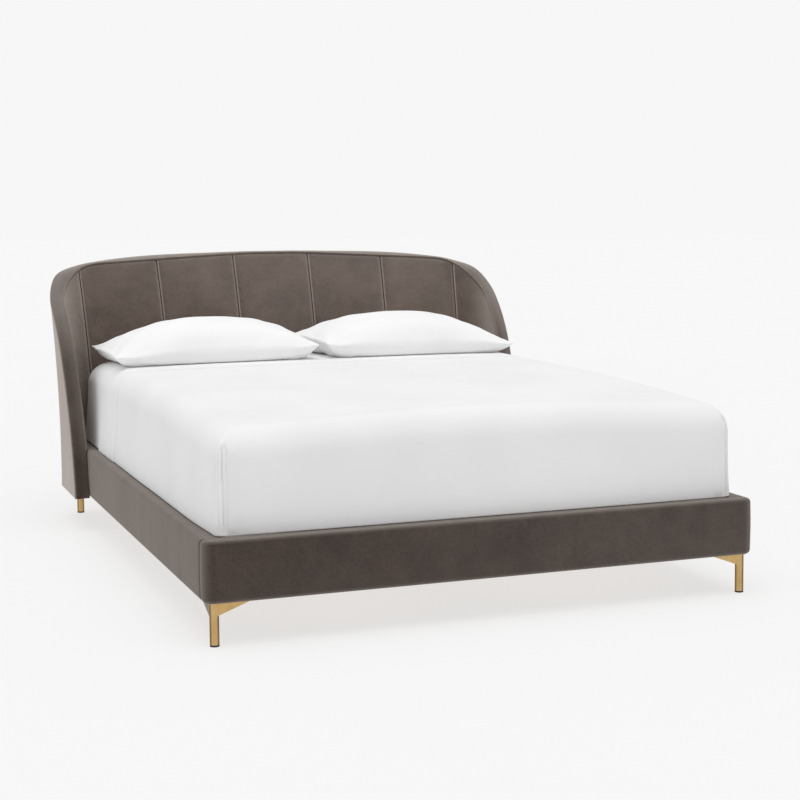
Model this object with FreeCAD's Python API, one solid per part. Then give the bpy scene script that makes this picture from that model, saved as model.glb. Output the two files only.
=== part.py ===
import FreeCAD, Part
import math
import os

os.makedirs("parts", exist_ok=True)
V = FreeCAD.Vector

# An upholstered bed in millimetres: +Z up, +Y towards the headboard, origin on the floor at the
# centre of the whole object.

# mattress and bedding
mattress_width = 1524.0
mattress_length = 2032.0
mattress_height = 345.0
mattress_radius = 45.0
side_gap = 10.0  # mattress to each rail
head_gap = 23.0  # mattress to the foot of the headboard
sheet = 2.2
sheet_hem = 4.0  # hem of each sheet above the mattress underside
sheet_back = 330.0  # flat sheet's top hem to the mattress end
pillow_depth = 505.0
pillow_height = 158.0
pillow_overhang = 43.0  # pillow end beyond the mattress side
pillow_radius = 60.0
pillow_gap = 10.0  # between the two pillows
pillow_setback = 0.0  # pillow to the mattress end

# rails
rail_bottom = 117.0
rail_height = 166.0
rail_thickness = 53.0
rail_soft_radius = 12.0
foot_corner_radius = 32.0
board_thickness = 30.0
board_margin = 8.0  # cover above and below a board
rail_joint = 0.5  # side rail cover to foot rail cover
ledger_size = V(25.0, 0.0, 40.0)
ledger_inset = 85.0  # ledger end to the foot rail

# slats and centre support
slat_top = 235.0
slat_thickness = 18.0
slat_width = 90.0
slat_count = 14
slat_end_gap = 3.0
slat_margin = 20.0  # first and last slat to the mattress ends
rest_gap = 0.5  # straps to the mattress underside
strap_size = V(30.0, 0.0, 1.2)
strap_x = 500.0
beam_size = V(40.0, 0.0, 50.0)
beam_wall = 2.0
beam_gap = 0.5
beam_plate = V(90.0, 3.0, 66.0)
beam_shelf = 34.0
centre_leg_radius = 15.0
centre_leg_share = (0.33, 0.67)  # of the beam's length
centre_glide_height = 12.0

# legs
leg_radius = 12.7
leg_wall = 1.6
glide_height = 5.0
glide_stem = 15.0
front_leg_inset = 31.0
rear_leg_inset = V(77.0, 65.0, 0.0)  # from the headboard's outer side and back
gusset_length = 78.0
gusset_height = 34.0
gusset_thickness = 6.0
plate_thickness = 3.0
plate_width = 30.0
rear_plate_radius = 32.0

# headboard
headboard_height = 972.0
wing_clearance = 1.0  # side rail to the inside of a wing
flare = 30.0  # half width gained at full height
sweep = 150.0  # how far the back curves rearwards at the top
bow_radius = 14000.0
arch_drop = 80.5  # how far the top falls from the middle to its ends
corner_low = 110.0
corner_high = 200.0
wing_thickness = 51.0
back_thickness = 97.0
wing_taper = 8.0  # thickness the wings lose towards the top
back_taper = 49.0  # thickness the back loses towards the top
skin = 3.0
core = 12.0
back_pad = 22.0
layer_gap = 0.3
band = 14.0
piping = 8.0
panel_share = 0.9  # half width that the five back panels cover
panel_count = 5
panel_low = 230.0
wing_pad_low = 290.0
rib_width = 24.0
top_rail_height = 70.0
wing_depth = 595.0  # the wing's lower front corner to the rearmost point
core_split = 0.8  # share of the half width where the back core meets the wing cores
top_rail_share = 0.81  # of the half width
end_rib_share = 0.06
frame_side = 0.1  # thickness left to the back frame where it meets the wings
loft_below = 30.0  # surfaces run on under the rails
loft_above = 40.0  # and over the top
bolt_spots = (50.0, 150.0)  # headboard bolts to the end of a side rail
bolt_height = 25.0  # headboard bolts to the underside of a board
rail_end_gap = 30.0  # side rail to the start of the headboard's inner corner

# fasteners
bracket_screw_length = 25.0
bracket_screw_share = (0.45, 0.8)  # of the bracket's length
plate_screw_spots = (14.0, 44.0)  # from the far end of a leg plate
plate_screw_share = 0.66  # across a leg plate
ring_share = 0.69  # rear plate's screws, of its radius
beam_screw_inset = 11.0
screw_radius = 3.0
screw_head = V(5.5, 0.0, 2.5)
screw_length = 27.0
bolt_radius = 4.0
bolt_head = V(8.0, 0.0, 4.0)
tee_nut_radius = 7.0
tee_nut_inset = 3.0  # into the wing core
tee_nut_length = 7.2
bolt_grip = 9.6  # how far a bolt enters the wing core
hole_gap = 0.1
bracket_length = 75.0
bracket_thickness = 4.0
bracket_height = 77.0
bracket_rise = 3.0  # above the underside of a board
beam_plate_drop = 4.0
centre_glide_lip = 2.0

room = 330.0  # working space beyond every piece

# derived places, all measured from the foot face until shifted by origin_shift
rail_half = mattress_width / 2 + side_gap + rail_thickness
rail_inner = rail_half - rail_thickness
rail_top = rail_bottom + rail_height
mattress_front = rail_thickness + side_gap
mattress_back = mattress_front + mattress_length
pad_foot = mattress_back + head_gap
back_foot = pad_foot + back_thickness
overall_length = back_foot + sweep
wing_front = overall_length - wing_depth
wing_half_width = rail_half + wing_clearance + wing_thickness
arch_half = wing_half_width + flare
outer_reach = wing_half_width + room
beyond = 1.5  # share of the half width that lies outside the wings
origin_shift = -overall_length / 2
ledger_top = slat_top - slat_thickness
board_low = rail_bottom + board_margin
board_high = rail_top - board_margin
mattress_low = slat_top + strap_size.z + rest_gap
shell_height = headboard_height - rail_bottom

shapes = {}


def block(x0, x1, y0, y1, z0, z1):
    return Part.makeBox(x1 - x0, y1 - y0, z1 - z0, V(x0, y0, z0))


def mirrored(shape):
    return shape.mirror(V(0, 0, 0), V(1, 0, 0))


def add_pair(name, right_shape):
    """Keep a right-hand piece and its mirror image on the left."""
    shapes["right_" + name] = right_shape
    shapes["left_" + name] = mirrored(right_shape)


def flat_edges(shape, levels, keep_out):
    """Level edges at the given heights, apart from those lying on the plane y = keep_out."""
    chosen = []
    for edge in shape.Edges:
        box = edge.BoundBox
        level = box.ZLength < 0.01 and min(abs(box.ZMin - z) for z in levels) < 0.01
        on_plane = box.YLength < 0.01 and abs(box.YMin - keep_out) < 0.01
        if level and not on_plane:
            chosen.append(edge)
    return chosen


def upright_edges(shape, y):
    return [e for e in shape.Edges if e.BoundBox.ZLength > 1 and abs(e.BoundBox.YMax - y) < 0.01]


def soft_box(x0, x1, y0, y1, z0, z1, radius):
    box = block(x0, x1, y0, y1, z0, z1)
    return box.makeFillet(radius, box.Edges)


def fastener(place, direction, radius, length, head):
    """A screw or bolt: its head's underside is at place and its shank runs along direction."""
    shank = Part.makeCylinder(radius, length, place, direction)
    cap = Part.makeCylinder(head.x, head.z, place - direction * head.z, direction)
    return shank.fuse(cap).removeSplitter()


def drill(hosts, place, direction, radius, length):
    hole = Part.makeCylinder(radius + hole_gap, length + 1, place - direction * 0.5, direction)
    for host in hosts:
        shapes[host] = shapes[host].cut(hole)


# ---- headboard surfaces


def spread(z):
    """Half width of the outer surface at height z, below its rounded corners."""
    t = (z - rail_bottom) / shell_height
    return wing_half_width + flare * t * abs(t)


def section(z, side, back, side_taper, back_taper):
    """Closed plan outline at height z, inset from the outer surface; tapers thin the insets."""
    t = (z - rail_bottom) / shell_height
    side -= side_taper * t
    back -= back_taper * t
    half = spread(z) - side
    y_back = back_foot + sweep * t * t - back
    corner = corner_low + (corner_high - corner_low) * t - (side + back) / 2
    bow = bow_radius - back
    bow_y = y_back - bow
    corner_x = half - corner
    corner_y = bow_y + math.sqrt((bow - corner) ** 2 - corner_x**2)
    reach = bow / (bow - corner)
    touch = V(corner_x * reach, bow_y + (corner_y - bow_y) * reach, z)
    turn = math.atan2(touch.y - corner_y, touch.x - corner_x) / 2
    middle = V(corner_x + corner * math.cos(turn), corner_y + corner * math.sin(turn), z)
    front = wing_front - room
    left = [V(-p.x, p.y, z) for p in (V(half, corner_y, z), middle, touch)]
    edges = [
        Part.LineSegment(V(half, front, z), V(half, corner_y, z)),
        Part.Arc(V(half, corner_y, z), middle, touch),
        Part.Arc(touch, V(0, y_back, z), left[2]),
        Part.Arc(left[2], left[1], left[0]),
        Part.LineSegment(left[0], V(-half, front, z)),
        Part.LineSegment(V(-half, front, z), V(half, front, z)),
    ]
    return Part.Wire([e.toShape() for e in edges])


def barrel(*surface):
    """The filled space inside one surface of the headboard."""
    height = loft_below + shell_height + loft_above
    levels = [rail_bottom - loft_below + height * i / 5 for i in range(6)]
    return Part.makeLoft([section(z, *surface) for z in levels], True, False)


def layer(outer, inner):
    return barrel(*outer).cut(barrel(*inner))


def trim_prism(inset):
    """Everything behind the swept front edge of the wings, inset square to that edge."""
    run = overall_length - wing_front
    rise = shell_height
    # the edge rises almost upright, then sweeps back over the wing to the top
    shares = ((0, 0), (0.09, 0.24), (0.176, 0.39), (0.303, 0.582), (0.42, 0.696))
    shares += ((0.546, 0.778), (0.689, 0.853), (0.807, 0.922), (0.908, 0.992), (1.025, 1.08))
    points = [V(0, wing_front + a * run, rail_bottom + b * rise) for a, b in shares]
    points.insert(0, points[0] - (points[1] - points[0]) * 1.15)
    points.append(points[-1] * 2 - points[-2])
    edge = Part.BSplineCurve()
    edge.interpolate(points)
    moved = []
    for i in range(25):
        u = edge.FirstParameter + (edge.LastParameter - edge.FirstParameter) * i / 24
        along = edge.tangent(u)[0]
        moved.append(edge.value(u) + V(0, along.z, -along.y) * inset)
    inner = Part.BSplineCurve()
    inner.interpolate(moved)
    far = overall_length + room
    corners = [moved[-1], V(0, far, moved[-1].z), V(0, far, moved[0].z), moved[0]]
    edges = [inner.toShape()] + [Part.makeLine(a, b) for a, b in zip(corners, corners[1:])]
    face = Part.Face(Part.Wire(edges))
    prism = face.extrude(V(2 * outer_reach, 0, 0))
    prism.translate(V(-outer_reach, 0, 0))
    return prism.common(under_arch(inset))


def under_arch(inset):
    """Everything above the rails' underside and below the arched top, inset downwards."""
    points = []
    for i in range(-12, 13):
        x = i / 12 * outer_reach
        points.append(V(x, 0, headboard_height - inset - arch_drop * (x / arch_half) ** 4))
    arch = Part.BSplineCurve()
    arch.interpolate(points)
    low = [V(outer_reach, 0, rail_bottom), V(-outer_reach, 0, rail_bottom)]
    corners = [points[-1]] + low + [points[0]]
    edges = [arch.toShape()] + [Part.makeLine(a, b) for a, b in zip(corners, corners[1:])]
    return Part.Face(Part.Wire(edges)).extrude(V(0, overall_length + room, 0))


def fan(low, high, z0, z1, gap):
    """Space between two shares of the half width; its sides lean out with the wings."""

    def edge_x(share, z):
        return share * (spread(z) - wing_thickness)

    points = [
        V(edge_x(low, z0) + gap, 0, z0),
        V(edge_x(high, z0) - gap, 0, z0),
        V(edge_x(high, z1) - gap, 0, z1),
        V(edge_x(low, z1) + gap, 0, z1),
    ]
    face = Part.Face(Part.makePolygon(points + points[:1]))
    return face.extrude(V(0, overall_length + room, 0))


# each surface of the headboard as its side and back insets and how much of each it loses at the top
outside = (0, 0, 0, 0)
skin_in = (skin, skin, 0, 0)
core_out = (skin + layer_gap, skin + layer_gap, 0, 0)
core_in = (core_out[0] + core, core_out[1] + core, 0, 0)
frame_out = (core_in[0] + layer_gap, core_in[1] + layer_gap, 0, 0)
pad_in = (wing_thickness, back_thickness, wing_taper, back_taper)
pad_out = (frame_out[0], back_thickness - back_pad, 0, back_taper)
frame_in = (frame_out[0] + frame_side, pad_out[1] - layer_gap, 0, back_taper)
piping_out = (pad_in[0] + layer_gap, pad_in[1] + layer_gap, wing_taper, back_taper)
piping_in = (piping_out[0] + piping, piping_out[1] + piping, wing_taper, back_taper)
top_z = headboard_height + room
seams = [panel_share * (2 * i / panel_count - 1) for i in range(panel_count + 1)]

whole_trim = trim_prism(0)
body_trim = trim_prism(band + layer_gap)


def build_headboard():
    shapes["headboard_cover"] = layer(outside, skin_in).common(body_trim)
    core_layer = layer(core_out, core_in).common(body_trim)
    middle = fan(-core_split, core_split, 0, top_z, layer_gap / 2)
    shapes["headboard_back_core"] = core_layer.common(middle)
    add_pair("wing_core", core_layer.common(fan(core_split, beyond, 0, top_z, layer_gap / 2)))

    frame_layer = layer(frame_out, frame_in).common(body_trim)
    lower = layer(frame_out, pad_in)
    lower_top = panel_low - layer_gap
    rail_end = side_rail_end()
    wrap = block(-outer_reach, outer_reach, rail_end + layer_gap, overall_length, rail_bottom, lower_top)
    shapes["headboard_lower_rail"] = lower.common(wrap)
    wing_side = lower.common(body_trim).common(
        block(0, outer_reach, 0, rail_end, rail_bottom, wing_pad_low - layer_gap)
    )
    add_pair("wing_block", wing_side)
    rail_base = headboard_height - top_rail_height
    end = top_rail_share
    shapes["headboard_top_rail"] = frame_layer.common(fan(-end, end, rail_base, top_z, 0))
    half = rib_width / 2 / wing_half_width
    zones = [(seam - half, seam + half) for seam in seams[1:-1]]
    zones += [(-end, end_rib_share - end), (end - end_rib_share, end)]
    ribs = []
    for low, high in zones:
        ribs.append(frame_layer.common(fan(low, high, panel_low, rail_base - layer_gap, 0)))
    shapes["headboard_ribs"] = Part.Compound([s for rib in ribs for s in rib.Solids])

    pad_layer = layer(pad_out, pad_in).common(body_trim)
    for i in range(panel_count):
        zone = fan(seams[i], seams[i + 1], panel_low, top_z, layer_gap)
        shapes["back_pad_%d" % (i + 1)] = pad_layer.common(zone)
    side_zone = fan(seams[-1], beyond, 0, top_z, layer_gap)
    high = side_zone.common(block(0, outer_reach, 0, overall_length, wing_pad_low, top_z))
    add_pair("wing_pad", pad_layer.common(high))

    shapes["headboard_edge_band"] = layer(outside, pad_in).common(whole_trim.cut(trim_prism(band)))
    strip = whole_trim.cut(trim_prism(piping))
    above_rail = block(-outer_reach, outer_reach, 0, overall_length, wing_pad_low, top_z)
    shapes["headboard_piping"] = layer(piping_out, piping_in).common(strip).common(above_rail)


def side_rail_end():
    """The side rails stop where the lower corner of the headboard starts to turn."""
    return pad_foot - (corner_low - (wing_thickness + back_thickness) / 2) - rail_end_gap


# ---- rails


def build_rails():
    outer = block(-rail_half, rail_half, 0, rail_thickness, rail_bottom, rail_top)
    outer = outer.makeFillet(foot_corner_radius, upright_edges(outer, 0))
    outer = outer.makeFillet(rail_soft_radius, flat_edges(outer, (rail_bottom, rail_top), rail_thickness))
    foam = rail_thickness - board_thickness
    board_half = rail_half - foam
    board = block(-board_half, board_half, foam, rail_thickness, board_low, board_high)
    shapes["foot_rail_cover"] = outer.cut(board)
    shapes["foot_rail_board"] = board

    start = rail_thickness + rail_joint
    end = side_rail_end()
    cover = block(rail_inner, rail_half, start, end, rail_bottom, rail_top)
    outside = [
        e
        for e in cover.Edges
        if e.BoundBox.YLength > 100 and abs(e.BoundBox.XMax - rail_half) < 0.01
    ]
    cover = cover.makeFillet(rail_soft_radius, outside)
    side_board = block(rail_inner, rail_inner + board_thickness, start, end, board_low, board_high)
    add_pair("rail_cover", cover.cut(side_board))
    add_pair("rail_board", side_board)
    ledger = block(
        rail_inner - ledger_size.x,
        rail_inner,
        rail_thickness + ledger_inset,
        end,
        ledger_top - ledger_size.z,
        ledger_top,
    )
    add_pair("ledger", ledger)

    low = board_low + bracket_rise
    high = low + bracket_height
    x0 = rail_inner - bracket_length
    y0 = rail_thickness
    across = block(x0, rail_inner, y0, y0 + bracket_thickness, low, high)
    along = block(rail_inner - bracket_thickness, rail_inner, y0, y0 + bracket_length, low, high)
    add_pair("foot_bracket", across.fuse(along).removeSplitter())
    screws = []
    middle = (low + high) / 2
    reach = bracket_screw_length
    for share in bracket_screw_share:
        away = bracket_length * share
        for sign in (-1, 1):
            side = "right" if sign > 0 else "left"
            place = V(sign * (rail_inner - away), y0 + bracket_thickness, middle)
            screws.append(fastener(place, V(0, -1, 0), screw_radius, reach, screw_head))
            hosts = (side + "_foot_bracket", "foot_rail_board")
            drill(hosts, place, V(0, -1, 0), screw_radius, reach)
            place = V(sign * (rail_inner - bracket_thickness), y0 + away, middle)
            screws.append(fastener(place, V(sign, 0, 0), screw_radius, reach, screw_head))
            hosts = (side + "_foot_bracket", side + "_rail_board")
            drill(hosts, place, V(sign, 0, 0), screw_radius, reach)
    shapes["foot_bracket_screws"] = Part.Compound(screws)


def build_headboard_bolts():
    """Two bolts a side pass through the rail and wing block into tee nuts in the wing core."""
    bolts = []
    nuts = []
    end = side_rail_end()
    nut_start = wing_half_width - skin - layer_gap - core
    for sign in (-1, 1):
        side = "right" if sign > 0 else "left"
        for spot in bolt_spots:
            y = end - spot
            z = board_low + bolt_height
            way = V(sign, 0, 0)
            head = V(sign * rail_inner, y, z)
            length = nut_start + bolt_grip - rail_inner
            bolts.append(fastener(head, way, bolt_radius, length, bolt_head))
            hosts = (side + "_rail_board", side + "_rail_cover", side + "_wing_block", side + "_wing_core")
            drill(hosts, head, way, bolt_radius, length)
            nut_place = V(sign * (nut_start + tee_nut_inset), y, z)
            nut = Part.makeCylinder(tee_nut_radius, tee_nut_length, nut_place, way)
            nut = nut.cut(Part.makeCylinder(bolt_radius + hole_gap, tee_nut_length, nut_place, way))
            nuts.append(nut)
            drill((side + "_wing_core",), nut_place, way, tee_nut_radius, tee_nut_length)
    shapes["headboard_bolts"] = Part.Compound(bolts)
    shapes["headboard_tee_nuts"] = Part.Compound(nuts)


# ---- legs


def tube(x, y, radius, wall, z0, z1):
    outer = Part.makeCylinder(radius, z1 - z0, V(x, y, z0))
    return outer.cut(Part.makeCylinder(radius - wall, z1 - z0, V(x, y, z0)))


def gusset(corners, way):
    return Part.Face(Part.makePolygon(corners + corners[:1])).extrude(way)


def build_legs():
    plate_low = rail_bottom - plate_thickness
    x = rail_half - front_leg_inset
    y = front_leg_inset
    outer_x = x + leg_radius
    front_y = y - leg_radius
    far_x = x - leg_radius - gusset_length
    far_y = y + leg_radius + gusset_length
    low = plate_low - gusset_height
    along_x = gusset(
        [V(x, front_y, plate_low), V(far_x, front_y, plate_low), V(x, front_y, low)],
        V(0, gusset_thickness, 0),
    )
    along_y = gusset(
        [V(outer_x, y, plate_low), V(outer_x, far_y, plate_low), V(outer_x, y, low)],
        V(-gusset_thickness, 0, 0),
    )
    plate = block(far_x, outer_x, front_y, front_y + plate_width, plate_low, rail_bottom)
    plate = plate.fuse(
        block(outer_x - plate_width, outer_x, front_y, far_y, plate_low, rail_bottom)
    )
    bore = Part.makeCylinder(leg_radius - leg_wall, plate_low, V(x, y, 0))
    leg = Part.makeCylinder(leg_radius, plate_low - glide_height, V(x, y, glide_height))
    leg = leg.fuse([along_x, along_y, plate]).cut(bore).removeSplitter()
    add_pair("front_leg", leg)

    rear_x = wing_half_width - rear_leg_inset.x
    rear_y = back_foot - rear_leg_inset.y
    rear = Part.makeCylinder(leg_radius, plate_low - glide_height, V(rear_x, rear_y, glide_height))
    rear = rear.fuse(Part.makeCylinder(rear_plate_radius, plate_thickness, V(rear_x, rear_y, plate_low)))
    bore = Part.makeCylinder(leg_radius - leg_wall, plate_low, V(rear_x, rear_y, 0))
    add_pair("rear_leg", rear.cut(bore).removeSplitter())

    glides = []
    for gx, gy in ((x, y), (-x, y), (rear_x, rear_y), (-rear_x, rear_y)):
        pad = Part.makeCylinder(leg_radius, glide_height, V(gx, gy, 0))
        stem_radius = leg_radius - leg_wall - hole_gap
        stem = Part.makeCylinder(stem_radius, glide_stem, V(gx, gy, glide_height))
        glides.append(pad.fuse(stem).removeSplitter())
    shapes["leg_glides"] = Part.Compound(glides)

    screws = []
    up = V(0, 0, 1)
    mid_y = front_y + plate_width * plate_screw_share
    mid_x = outer_x - plate_width * plate_screw_share
    ring = rear_plate_radius * ring_share
    near, far = plate_screw_spots
    spots = (
        (far_x + near, mid_y, "foot_rail", "front_leg"),
        (far_x + far, mid_y, "foot_rail", "front_leg"),
        (mid_x, far_y - far, "_rail", "front_leg"),
        (mid_x, far_y - near, "_rail", "front_leg"),
        (rear_x - ring, rear_y, "headboard_lower_rail", "rear_leg"),
        (rear_x, rear_y - ring, "headboard_lower_rail", "rear_leg"),
    )
    for sx, sy, host, leg_name in spots:
        for sign in (-1, 1):
            side = "right" if sign > 0 else "left"
            place = V(sign * sx, sy, plate_low)
            screws.append(fastener(place, up, screw_radius, screw_length, screw_head))
            hosts = [side + "_" + leg_name]
            if host == "headboard_lower_rail":
                hosts.append(host)
            else:
                stem = host if host == "foot_rail" else side + host
                hosts += [stem + "_cover", stem + "_board"]
            drill(hosts, place, up, screw_radius, screw_length)
    shapes["leg_screws"] = Part.Compound(screws)


# ---- slats and centre support


def build_support():
    half = rail_inner - slat_end_gap
    first = mattress_front + slat_margin
    pitch = (mattress_length - 2 * slat_margin - slat_width) / (slat_count - 1)
    slats = []
    for i in range(slat_count):
        y = first + pitch * i
        slats.append(block(-half, half, y, y + slat_width, ledger_top, slat_top))
    shapes["slats"] = Part.Compound(slats)
    last = first + pitch * (slat_count - 1) + slat_width
    straps = []
    for x in (-strap_x, strap_x):
        side = strap_size.x / 2
        straps.append(block(x - side, x + side, first, last, slat_top, slat_top + strap_size.z))
    shapes["slat_straps"] = Part.Compound(straps)

    beam_half = beam_size.x / 2
    beam_low = ledger_top - beam_size.z
    y0 = rail_thickness + beam_plate.y + beam_gap
    y1 = pad_foot - beam_plate.y - beam_gap
    beam = block(-beam_half, beam_half, y0, y1, beam_low, ledger_top)
    hollow = block(
        -beam_half + beam_wall,
        beam_half - beam_wall,
        y0,
        y1,
        beam_low + beam_wall,
        ledger_top - beam_wall,
    )
    shapes["centre_beam"] = beam.cut(hollow)
    brackets = []
    screws = []
    plate_half = beam_plate.x / 2
    plate_low = ledger_top - beam_plate.z
    ends = (
        (rail_thickness, 1, "foot_rail_board"),
        (pad_foot, -1, "headboard_lower_rail"),
    )
    for y, way, host in ends:
        face = y + way * beam_plate.y
        near, far = sorted((y, face))
        plate = block(-plate_half, plate_half, near, far, plate_low, ledger_top - beam_plate_drop)
        near, far = sorted((face, face + way * beam_shelf))
        shelf = block(-beam_half, beam_half, near, far, beam_low - beam_plate.y, beam_low)
        bracket = plate.fuse(shelf).removeSplitter()
        for x in (beam_screw_inset - plate_half, plate_half - beam_screw_inset):
            place = V(x, face, ledger_top - beam_plate.z / 2)
            direction = V(0, -way, 0)
            screws.append(fastener(place, direction, screw_radius, screw_length, screw_head))
            reach = screw_length + 1
            hole = Part.makeCylinder(screw_radius + hole_gap, reach, place - direction * 0.5, direction)
            bracket = bracket.cut(hole)
            shapes[host] = shapes[host].cut(hole)
        brackets.append(bracket)
    shapes["beam_brackets"] = Part.Compound(brackets)
    shapes["beam_screws"] = Part.Compound(screws)

    legs = []
    glides = []
    for share in centre_leg_share:
        y = y0 + share * (y1 - y0)
        pipe = tube(0, y, centre_leg_radius, beam_wall, centre_glide_height, beam_low - plate_thickness)
        top = block(
            -beam_half, beam_half, y - beam_half, y + beam_half, beam_low - plate_thickness, beam_low
        )
        legs.append(pipe.fuse(top).removeSplitter())
        glide = Part.makeCylinder(centre_leg_radius + centre_glide_lip, centre_glide_height, V(0, y, 0))
        stem_radius = centre_leg_radius - beam_wall - hole_gap
        stem = Part.makeCylinder(stem_radius, glide_stem, V(0, y, centre_glide_height))
        glides.append(glide.fuse(stem).removeSplitter())
    shapes["centre_legs"] = Part.Compound(legs)
    shapes["centre_glides"] = Part.Compound(glides)


# ---- mattress and bedding


def grown_mattress(grow):
    """The mattress block grown on every side but its underside."""
    half = mattress_width / 2 + grow
    low = mattress_low - mattress_radius * 2
    high = mattress_low + mattress_height + grow
    y0 = mattress_front - grow
    y1 = mattress_back + grow
    return soft_box(-half, half, y0, y1, low, high, mattress_radius + grow)


def build_bedding():
    half = mattress_width / 2
    top = mattress_low + mattress_height
    shapes["mattress"] = soft_box(
        -half, half, mattress_front, mattress_back, mattress_low, top, mattress_radius
    )
    hem = mattress_low + mattress_radius + sheet_hem
    above = block(-outer_reach, outer_reach, 0, overall_length, hem, top + room)
    fitted_in = layer_gap
    fitted_out = fitted_in + sheet
    fitted = grown_mattress(fitted_out).cut(grown_mattress(fitted_in))
    shapes["fitted_sheet"] = fitted.common(above)
    flat_in = fitted_out + layer_gap
    flat_out = flat_in + sheet
    flat = grown_mattress(flat_out).cut(grown_mattress(flat_in))
    cut_back = block(-outer_reach, outer_reach, 0, mattress_back - sheet_back, hem, top + room)
    shapes["flat_sheet"] = flat.common(cut_back)

    low = top + flat_out + layer_gap
    y1 = mattress_back - pillow_setback
    pillow = soft_box(
        pillow_gap / 2,
        half + pillow_overhang,
        y1 - pillow_depth,
        y1,
        low,
        low + pillow_height,
        pillow_radius,
    )
    add_pair("pillow", pillow)


build_rails()
build_headboard()
build_headboard_bolts()
build_legs()
build_support()
build_bedding()

for name, shape in shapes.items():
    shape.translate(V(0, origin_shift, 0))
    shape.exportStep("parts/%s.step" % name)
    print("%-24s solids %2d  valid %s" % (name, len(shape.Solids), shape.isValid()))
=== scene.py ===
import math
import bmesh
import bpy
import numpy as np
from mathutils import Matrix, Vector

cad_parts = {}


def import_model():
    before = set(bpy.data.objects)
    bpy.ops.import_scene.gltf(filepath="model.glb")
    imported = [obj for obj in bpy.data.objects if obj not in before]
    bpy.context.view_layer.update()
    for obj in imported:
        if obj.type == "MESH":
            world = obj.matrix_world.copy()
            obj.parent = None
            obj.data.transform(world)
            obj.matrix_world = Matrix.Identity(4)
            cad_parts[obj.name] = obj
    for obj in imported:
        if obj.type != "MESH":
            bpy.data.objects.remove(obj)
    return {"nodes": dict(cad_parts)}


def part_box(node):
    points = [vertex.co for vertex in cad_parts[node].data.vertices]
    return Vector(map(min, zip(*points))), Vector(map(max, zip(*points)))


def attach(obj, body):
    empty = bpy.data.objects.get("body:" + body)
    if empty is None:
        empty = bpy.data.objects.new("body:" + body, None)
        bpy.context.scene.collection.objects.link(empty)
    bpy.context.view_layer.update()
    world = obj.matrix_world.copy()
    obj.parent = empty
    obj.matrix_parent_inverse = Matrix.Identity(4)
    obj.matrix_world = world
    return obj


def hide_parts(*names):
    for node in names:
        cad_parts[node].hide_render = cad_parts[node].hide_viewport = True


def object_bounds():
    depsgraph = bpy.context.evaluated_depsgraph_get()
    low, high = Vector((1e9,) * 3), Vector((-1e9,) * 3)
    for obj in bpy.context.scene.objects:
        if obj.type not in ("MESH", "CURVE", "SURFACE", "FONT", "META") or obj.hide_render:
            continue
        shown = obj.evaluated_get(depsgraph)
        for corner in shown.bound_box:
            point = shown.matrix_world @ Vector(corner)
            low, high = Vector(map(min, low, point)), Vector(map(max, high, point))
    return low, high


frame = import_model()
nodes = frame["nodes"]
cadBox = [[float(a) for a in corner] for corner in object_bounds()]
print("frame loaded", len(nodes), "nodes")


def newMaterial(name):
    # a node material and its Principled shader
    material = bpy.data.materials.new(name)
    material.use_nodes = True
    tree = material.node_tree
    shader = tree.nodes["Principled BSDF"]
    return material, tree, shader


def addNode(tree, kind, **values):
    # each value goes to the node's own setting of that name, or else to its input
    node = tree.nodes.new(kind)
    for key, value in values.items():
        if hasattr(node, key):
            setattr(node, key, value)
        else:
            node.inputs[key.replace("_", " ")].default_value = value
    return node


def objectSpace(tree, scale=(1, 1, 1)):
    # object coordinates times a scale
    place = addNode(tree, "ShaderNodeTexCoord")
    mapping = addNode(tree, "ShaderNodeMapping")
    mapping.inputs["Scale"].default_value = scale
    tree.links.new(place.outputs["Object"], mapping.inputs["Vector"])
    return mapping.outputs["Vector"]


def noise(tree, vector, scale, detail=3.0, rough=0.5):
    # fractal noise between 0 and 1
    node = addNode(tree, "ShaderNodeTexNoise", Scale=scale, Detail=detail, Roughness=rough)
    tree.links.new(vector, node.inputs["Vector"])
    return node.outputs["Fac"]


def ramp(tree, value, low, high, start=0.3, end=0.7):
    # colour from low to high while the value runs from start to end
    node = addNode(tree, "ShaderNodeValToRGB")
    node.color_ramp.elements[0].position = start
    node.color_ramp.elements[1].position = end
    node.color_ramp.elements[0].color = (*low, 1)
    node.color_ramp.elements[1].color = (*high, 1)
    tree.links.new(value, node.inputs["Fac"])
    return node.outputs["Color"]


def spanned(tree, value, low, high):
    # low + (high - low) * value
    node = addNode(tree, "ShaderNodeMapRange")
    node.inputs["To Min"].default_value = low
    node.inputs["To Max"].default_value = high
    tree.links.new(value, node.inputs["Value"])
    return node.outputs["Result"]


def joined(tree, kind, a, b):
    # one sum, product or power of two sockets or numbers
    node = addNode(tree, "ShaderNodeMath", operation=kind)
    for socket, value in zip(node.inputs, (a, b)):
        if isinstance(value, (int, float)):
            socket.default_value = value
        else:
            tree.links.new(value, socket)
    return node.outputs["Value"]


def mixed(tree, factor, a, b, blend="MIX"):
    # a + (b - a) * factor, or another blend of two colours
    node = addNode(tree, "ShaderNodeMix", data_type="RGBA", blend_type=blend)
    for socket, value in ((node.inputs["Factor"], factor), (node.inputs["A"], a), (node.inputs["B"], b)):
        if isinstance(value, (int, float)):
            socket.default_value = value
        elif isinstance(value, tuple):
            socket.default_value = (*value, 1)
        else:
            tree.links.new(value, socket)
    return [output for output in node.outputs if output.type == "RGBA"][0]


def bumped(tree, shader, height, strength, distance):
    # height to the shader's normal
    node = addNode(tree, "ShaderNodeBump", Strength=strength, Distance=distance)
    tree.links.new(height, node.inputs["Height"])
    tree.links.new(node.outputs["Normal"], shader.inputs["Normal"])


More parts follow.
